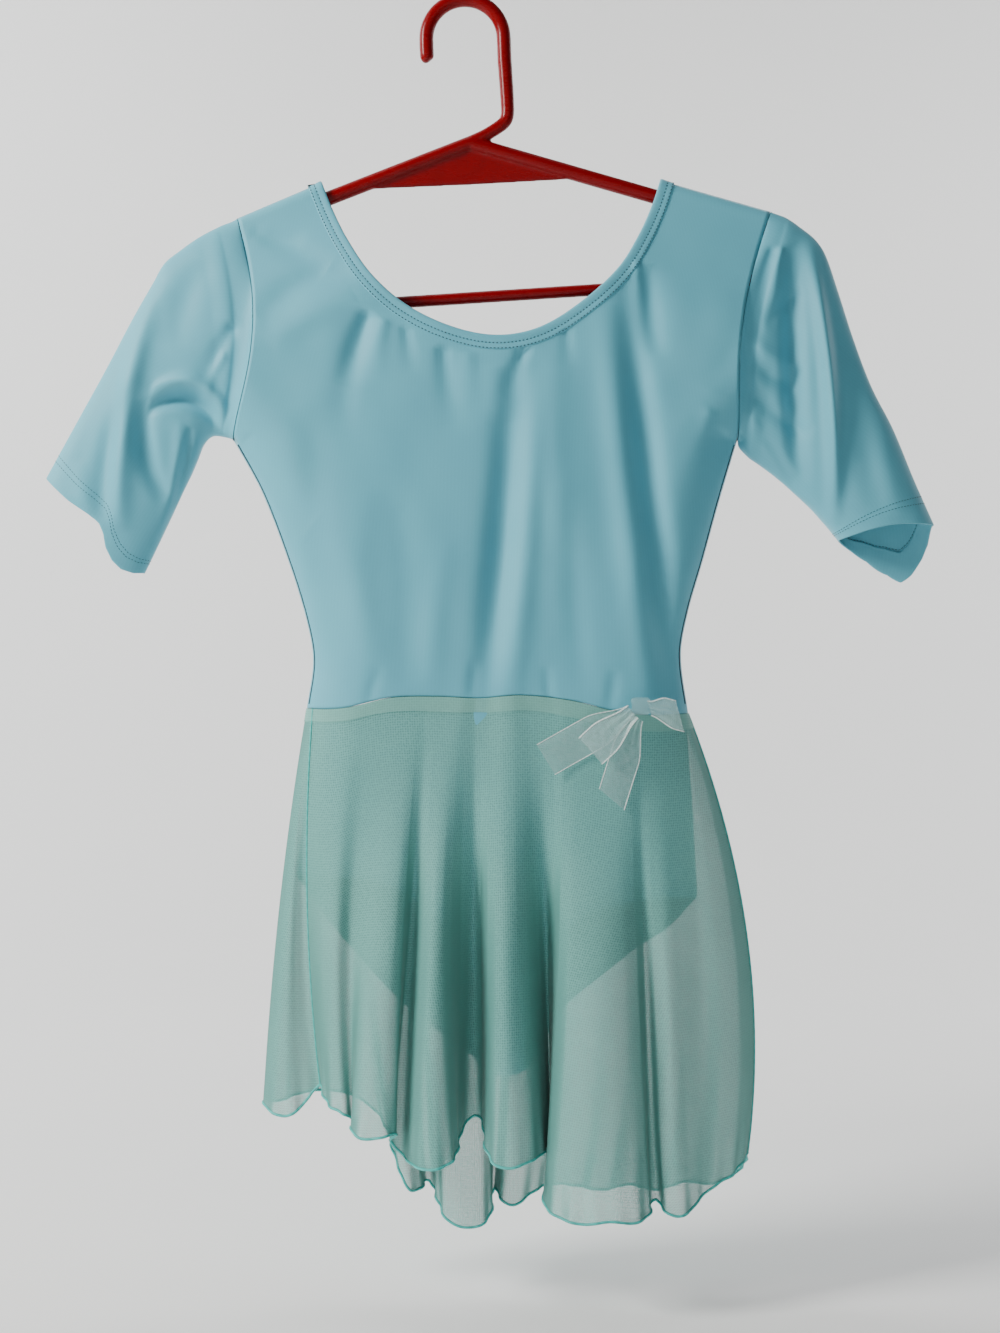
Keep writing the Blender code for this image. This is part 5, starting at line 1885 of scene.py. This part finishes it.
@dataclass
class Bow:
    """A bow tied from organza ribbon: a knot, two loops and two cut tails, with thread along the edges.

    Attributes:
        knot: Middle of the knot.
        size: The knot's sides.
        wave: How far the ribbon sways.
        cup: How far its middle lifts.
        steps: Points along a loop.
        wide: Points across the ribbon.
    """

    knot: tuple[float, float, float] = (106.9, -28.6, -433.0)
    size: tuple[float, float, float] = (11.4, 9.4, 10.6)
    wave: float = 1.2
    cup: float = 0.65
    steps: int = 72
    wide: int = 22

    def ribbon(
        self,
        ends: Grid,
        root_width: float,
        out: Grid,
        depth: Grid,
        spread: Grid,
        cup: Grid,
    ) -> Grid:
        """Lay a ribbon along a path.

        Args:
            ends: Where it leaves the knot and its two far corners, x and z.
            root_width: Its gathered width at the knot.
            out: How far out each row is, 0 to 1.
            depth: The y of each row.
            spread: How far each row has opened, 0 to 1.
            cup: How far each row's middle lifts.

        Returns:
            A grid with a row for each step along it.
        """
        root, corner, other = ends
        middle = mix(root, (corner + other) / 2, out[:, None])
        half = (corner - other) / 2
        share = np.linspace(-1.0, 1.0, self.wide)[None, :, None]
        width = mix(root_width / 2 / np.hypot(*half), 1.0, spread)[:, None, None]
        flat = middle[:, None] + half * width * share
        gathers = np.cos(share[..., 0] * 9.0) * 0.55 * (1 - spread)[:, None]
        rise = cup[:, None] * (1 - share[..., 0] ** 2) + gathers
        return np.stack([flat[..., 0], depth[:, None] + rise, flat[..., 1]], axis=-1)

    def edge_cords(self, name: str, grid: Grid, shop: Shop) -> None:
        """Run a thread along both edges of a ribbon: the real edge cord, drawn near white as a painted
        highlight.
        """
        lines = [grid[:, 0], grid[:, -1]]
        pieces = []
        for k, line in enumerate(lines):
            cord = tube(line, 0.34, 5)
            pieces.append(Cloth(f"{name}_edge_{k + 1}", cord, cord - line[:, None], closed=True).build())
        bpy.ops.object.select_all(action="DESELECT")
        for piece in pieces:
            piece.select_set(True)
        bpy.context.view_layer.objects.active = pieces[0]
        bpy.ops.object.join()
        settle(pieces[0], shop.edge_highlight_thread)

    def build(self, shop: Shop) -> None:
        """Tie the bow."""
        loops = (
            ("bow_left_loop", 101.8, -436.4, 67.6, -453.9, 81.5, -469.6, 9.5, -34.9, -29.8),
            ("bow_right_loop", 112.2, -434.2, 131.0, -430.4, 136.0, -449.1, 9.0, -33.9, -27.9),
        )
        tails = (
            ("bow_left_tail", 101.8, -436.0, 44.1, -456.4, 55.0, -474.5, 8.0, -24.6, -27.4),
            ("bow_right_tail", 105.2, -439.6, 82.0, -483.3, 97.1, -496.0, 8.0, -26.9, -27.8),
        )
        for name, *corners, width, front, back in loops:
            ends = np.array(corners).reshape(3, 2)
            turn = np.linspace(0.0, np.pi, self.steps)
            nose = abs(front - back) / 2 / np.hypot(*((ends[1] + ends[2]) / 2 - ends[0]))
            out = np.clip(np.sin(turn), 0.0, 1.0) ** 0.6
            depth = mix(front, back, smooth(turn / np.pi)) - self.wave * np.cos(turn) * np.sin(turn)
            spread = smooth(out * 1.4)
            grid = self.ribbon(ends, width, out * (1 - nose), depth, spread, -self.cup * np.cos(turn))
            self.finish(name, grid, shop)
        for name, *corners, width, near, far in tails:
            ends = np.array(corners).reshape(3, 2)
            share = np.linspace(0.0, 1.0, self.steps)
            depth = mix(near, far, share) - self.wave * np.sin(2 * np.pi * share) * share
            grid = self.ribbon(ends, width, share, depth, smooth(share * 2.2), -self.cup * share)
            self.finish(name, grid, shop)
        self.build_knot(shop)

    def finish(self, name: str, grid: Grid, shop: Shop) -> None:
        """Make one ribbon piece and its edge threads."""
        film = Cloth(name.replace("bow", "organza"), grid, np.array([0.0, -1.0, 0.0])).build()
        settle(film, shop.organza, [name])
        self.edge_cords(name.replace("bow", "organza"), grid, shop)

    def build_knot(self, shop: Shop) -> None:
        """Model the knot: a soft block with the ribbon's gathers pressed into its front."""
        bpy.ops.object.select_all(action="DESELECT")
        bpy.ops.mesh.primitive_cube_add(size=MM, location=(0, 0, 0))
        knot = bpy.context.active_object
        knot.name = "organza_knot"
        knot.scale = self.size
        bpy.ops.object.transform_apply(location=False, rotation=False, scale=True)
        bpy.ops.object.mode_set(mode="EDIT")
        bpy.ops.mesh.select_all(action="SELECT")
        bpy.ops.mesh.bevel(offset=2.6 * MM, segments=4)
        bpy.ops.mesh.subdivide(number_cuts=3, smoothness=0.4)
        bpy.ops.object.mode_set(mode="OBJECT")
        for vertex in knot.data.vertices:
            x, z = vertex.co.x / MM, vertex.co.z / MM
            crease = math.cos(x * 2.6 + 0.35 * z) * 0.28
            pinch = 1 - 0.10 * math.cos(z / 4.7 * math.pi)
            vertex.co.x *= pinch
            vertex.co.y += math.copysign(crease, vertex.co.y) * MM * 0.8
            vertex.co += Vector(self.knot) * MM
        knot.data.shade_smooth()
        settle(knot, shop.organza, ["bow_knot"])


@dataclass
class Hanger:
    """The tubular hanger: hook, arms with round ends, lower bar and a thin web under the apex.

    Attributes:
        hook_rod: Radius of the hook.
        arm_rod: Radius of the arms.
        bar_rod: Radius of the lower bar.
        bend: Radius of the hook's bend.
        apex: Where the arms meet, x and z.
        rises: Slope of the left and the right arm.
        bar: The lower bar's slope and its level at x 0.
        turns: Where the left and the right end turn.
        web: The web's outline, x and z.
        tip: The hook's rounded tip: x, z and share of the full radius.
        limb: The hook's limb from its bend down to the apex, x and z.
        web_wall: The web's thickness.
        voxel: Size of the cells that blend its pieces into one moulding.
    """

    hook_rod: float = 4.5
    arm_rod: float = 4.6
    bar_rod: float = 3.8
    bend: float = 24.0
    apex: tuple[float, float] = (3.1, -84.6)
    rises: tuple[float, float] = (0.39, -0.288)
    bar: tuple[float, float] = (0.0645, -180.6)
    turns: tuple[float, float] = (-151.0, 187.0)
    web: tuple[tuple[float, float], ...] = (
        (-60.0, -109.4),
        (3.1, -85.4),
        (66.5, -103.0),
        (62.0, -107.0),
        (5.0, -110.2),
        (-56.0, -112.8),
    )
    tip: tuple[tuple[float, float, float], ...] = (
        (-22.4, -34.0, 0.25),
        (-22.6, -33.8, 0.5),
        (-22.9, -33.2, 0.75),
        (-23.2, -32.4, 0.9),
        (-23.5, -31.0, 0.98),
        (-23.9, -25.0, 1.0),
    )
    limb: tuple[tuple[float, float], ...] = (
        (24.5, -32.9),
        (25.4, -45.3),
        (26.3, -60.0),
        (26.4, -66.0),
        (25.2, -70.4),
        (21.8, -73.8),
        (12.0, -79.8),
        (-4.5, -87.0),
    )
    web_wall: float = 2.6
    voxel: float = 0.75

    def end_turn(self, side: Side, steps: int) -> list[tuple[float, float]]:
        """List the points of a round end, from its arm down to the bar."""
        x = self.turns[0] if side is Side.LEFT else self.turns[1]
        rise = self.rises[0] if side is Side.LEFT else self.rises[1]
        arm = self.apex[1] + rise * (x - self.apex[0])
        level = self.bar[1] + self.bar[0] * x
        arm_lean, bar_lean = math.hypot(1, rise), math.hypot(1, self.bar[0])
        radius = (arm - level) / (arm_lean + bar_lean)
        middle = (x, arm - radius * arm_lean)
        start, end = math.atan2(1, -rise), math.atan2(-1, self.bar[0])
        if side is Side.LEFT:
            end += 2 * math.pi
        angles = [mix(start, end, k / steps) for k in range(steps + 1)]
        return [(middle[0] + math.cos(a) * radius, middle[1] + math.sin(a) * radius) for a in angles]

    def sweep(
        self, name: str, path: Sequence[tuple[float, float]], radii: Sequence[float]
    ) -> bpy.types.Object:
        """Model a rod: a circle is extruded from bend to bend, turned and sized at each.

        Args:
            name: Name of the new object.
            path: Points along its middle, x and z.
            radii: Its radius at each.

        Returns:
            The rod, capped at both ends.
        """
        bpy.ops.object.select_all(action="DESELECT")
        bpy.ops.mesh.primitive_circle_add(vertices=20, radius=radii[0] * MM, fill_type="NGON")
        made = bpy.context.active_object
        made.name = name
        heading = self.headings(path)
        lean = math.atan2(*heading[0])
        made.rotation_euler = (0.0, lean, 0.0)
        made.location = (path[0][0] * MM, 0.0, path[0][1] * MM)
        bpy.ops.object.transform_apply(location=True, rotation=True, scale=False)
        bpy.ops.object.mode_set(mode="EDIT")
        bpy.ops.mesh.select_all(action="SELECT")
        for k in range(1, len(path)):
            step = ((path[k][0] - path[k - 1][0]) * MM, 0.0, (path[k][1] - path[k - 1][1]) * MM)
            bpy.ops.mesh.extrude_region_move(TRANSFORM_OT_translate={"value": step})
            turned = math.atan2(*heading[k]) - math.atan2(*heading[k - 1])
            turned = (turned + math.pi) % (2 * math.pi) - math.pi
            middle = (path[k][0] * MM, 0.0, path[k][1] * MM)
            if abs(turned) > 1e-6:
                bpy.ops.transform.rotate(value=-turned, orient_axis="Y", center_override=middle)
            size = radii[k] / radii[k - 1]
            if abs(size - 1) > 1e-6:
                bpy.ops.transform.resize(value=(size, size, size), center_override=middle)
        bpy.ops.mesh.select_all(action="SELECT")
        bpy.ops.mesh.normals_make_consistent(inside=False)
        bpy.ops.object.mode_set(mode="OBJECT")
        return made

    def headings(self, path: Sequence[tuple[float, float]]) -> list[tuple[float, float]]:
        """Find the way ahead at each point of a path."""
        found = []
        for k in range(len(path)):
            a, b = path[max(k - 1, 0)], path[min(k + 1, len(path) - 1)]
            size = math.hypot(b[0] - a[0], b[1] - a[1])
            found.append(((b[0] - a[0]) / size, (b[1] - a[1]) / size))
        return found

    def build_web(self) -> bpy.types.Object:
        """Model the web: its outline is filled and extruded through its thickness."""
        mesh = bpy.data.meshes.new("web_plate")
        half = self.web_wall / 2 * MM
        mesh.from_pydata([(x * MM, -half, z * MM) for x, z in self.web], [], [tuple(range(len(self.web)))])
        plate = bpy.data.objects.new("web_plate", mesh)
        bpy.context.scene.collection.objects.link(plate)
        only_select(plate)
        bpy.ops.object.mode_set(mode="EDIT")
        bpy.ops.mesh.select_all(action="SELECT")
        bpy.ops.mesh.extrude_region_move(TRANSFORM_OT_translate={"value": (0.0, 2 * half, 0.0)})
        bpy.ops.mesh.select_all(action="SELECT")
        bpy.ops.mesh.normals_make_consistent(inside=False)
        bpy.ops.object.mode_set(mode="OBJECT")
        return plate

    def build(self, shop: Shop) -> None:
        """Mould the hanger in one."""
        turns = 20
        left, right = self.end_turn(Side.LEFT, turns), self.end_turn(Side.RIGHT, turns)
        taper = [mix(self.arm_rod, self.bar_rod, float(smooth(k / turns))) for k in range(turns + 1)]
        arms = [self.apex] + left + right[::-1] + [self.apex]
        sizes = [self.arm_rod] + taper + taper[::-1] + [self.arm_rod]
        frame_rod = self.sweep("hanger_body", arms, sizes)
        hook = [(x, z) for x, z, _ in self.tip]
        top = self.hook_rod - self.bend
        for k in range(29):
            angle = math.pi * (1 - k / 28)
            hook.append((math.cos(angle) * self.bend, top + math.sin(angle) * self.bend))
        rounded = Curve(self.limb).by_index(np.linspace(0, len(self.limb) - 1 - 1e-9, 40))
        hook += [tuple(place) for place in rounded.tolist()]
        hook_sizes = [self.hook_rod * share for _, _, share in self.tip] + [self.hook_rod] * 29
        hook_sizes += [mix(self.hook_rod, 3.8, k / 39) for k in range(40)]
        hook_rod = self.sweep("hook_body", hook, hook_sizes)
        plate = self.build_web()
        bpy.ops.object.select_all(action="DESELECT")
        for piece in (frame_rod, hook_rod, plate):
            piece.select_set(True)
        bpy.context.view_layer.objects.active = frame_rod
        bpy.ops.object.join()
        blend = frame_rod.modifiers.new("blend", "REMESH")
        blend.mode = "VOXEL"
        blend.voxel_size = self.voxel * MM
        soften = frame_rod.modifiers.new("soften", "SMOOTH")
        soften.factor = 0.5
        soften.iterations = 12
        bpy.ops.object.modifier_apply(modifier="blend")
        bpy.ops.object.modifier_apply(modifier="soften")
        thin = frame_rod.modifiers.new("thin", "DECIMATE")
        thin.ratio = 0.7
        bpy.ops.object.modifier_apply(modifier="thin")
        frame_rod.name = "moulded_hanger"
        frame_rod.data.shade_smooth()
        settle(frame_rod, shop.plastic, ["hanger"])


@dataclass
class Studio:
    """A pale sweep, soft lights and the camera at the photograph's angle.

    Attributes:
        floor: Level of the floor.
        eye: Where the camera stands.
        frame_height: How much it sees at the hanger's plane, top to bottom.
    """

    floor: float = -0.80
    eye: tuple[float, float, float] = (0.0217, -1.300, -0.4089)
    frame_height: float = 0.8265

    def build_sweep(self) -> None:
        """Roll out the pale floor, which curves up into the wall behind."""
        line = [(-2.6, self.floor), (1.2, self.floor)]
        for k in range(1, 13):
            angle = math.pi / 2 * k / 12
            line.append((1.2 + 0.9 * math.sin(angle), self.floor + 0.9 * (1 - math.cos(angle))))
        line.append((2.1, 2.4))
        mesh = bpy.data.meshes.new("pale_sweep")
        points = [(x, y, z) for y, z in line for x in (-3.2, 3.2)]
        faces = [(2 * k, 2 * k + 1, 2 * k + 3, 2 * k + 2) for k in range(len(line) - 1)]
        mesh.from_pydata(points, [], faces)
        mesh.shade_smooth()
        sweep = bpy.data.objects.new("pale_sweep", mesh)
        bpy.context.scene.collection.objects.link(sweep)
        made, tree, shader = new_material("matt_white_paint")
        place = object_place(tree)
        haze = noise(tree, place, 3.0)
        tone = blend(tree, haze, linear("F1F2F2"), linear("F6F6F5"))
        tree.links.new(tone, shader.inputs["Base Color"])
        set_shader(shader, {"Roughness": 0.9, "Specular IOR Level": 0.2})
        mesh.materials.append(made)

    def light(
        self,
        name: str,
        place: Sequence[float],
        size: float,
        power: float,
        colour: str,
        target: Sequence[float] = (0.02, 0.0, -0.42),
    ) -> None:
        """Set one soft square light.

        Args:
            name: Its name.
            place: Where it stands.
            size: Its side.
            power: Its power in watts.
            colour: Its colour.
            target: What it looks at, the dress unless another place is named.
        """
        lamp = bpy.data.lights.new(name, "AREA")
        lamp.size = size
        lamp.energy = power
        lamp.color = linear(colour)[:3]
        stand = bpy.data.objects.new(name, lamp)
        stand.location = place
        aim = Vector(target) - Vector(place)
        stand.rotation_euler = aim.to_track_quat("-Z", "Y").to_euler()
        bpy.context.scene.collection.objects.link(stand)

    def build(self) -> None:
        """Set up the studio."""
        self.build_sweep()
        self.light("key", (-1.25, -0.66, 0.42), 0.5, 35.0, "FFFDF8")
        self.light("fill", (-0.1, -2.2, -0.3), 1.8, 4.6, "F4F8FF")
        self.light("top", (-0.2, 0.3, 1.2), 0.9, 5.0, "FFFFFF")
        self.light("wall_left", (-1.4, 0.9, 0.7), 1.4, 32.0, "FFFFFF", (-0.4, 2.1, -0.2))
        self.light("wall_right", (1.5, 0.9, 0.4), 1.4, 22.0, "FFFFFF", (0.5, 2.1, -0.6))
        world = bpy.data.worlds.new("pale_room")
        bpy.context.scene.world = world
        world.use_nodes = True
        world.node_tree.nodes["Background"].inputs["Color"].default_value = linear("EEF1F4")
        world.node_tree.nodes["Background"].inputs["Strength"].default_value = 0.17
        view = bpy.data.cameras.new("photograph_view")
        view.sensor_fit = "VERTICAL"
        view.sensor_height = 24.0
        view.lens = 24.0 * -self.eye[1] / self.frame_height
        camera = bpy.data.objects.new("photograph_view", view)
        camera.location = self.eye
        camera.rotation_euler = (math.pi / 2, 0.0, 0.0)
        bpy.context.scene.collection.objects.link(camera)
        bpy.context.scene.camera = camera


def main() -> None:
    """Build the dress in order, then the studio round it."""
    shop = Shop()
    Bodice().build(shop)
    NeckBand().build(shop)
    Sleeve(Side.LEFT, LEFT_SLEEVE, LEFT_SLEEVE_CREASES, cuff_front=LEFT_CUFF_FRONT).build(shop)
    Sleeve(Side.RIGHT, RIGHT_SLEEVE, RIGHT_SLEEVE_CREASES, cuff_back=RIGHT_CUFF_BACK).build(shop)
    Brief().build(shop)
    Skirt().build(shop)
    Bow().build(shop)
    Hanger().build(shop)
    Studio().build()


if __name__ == "__main__":
    main()
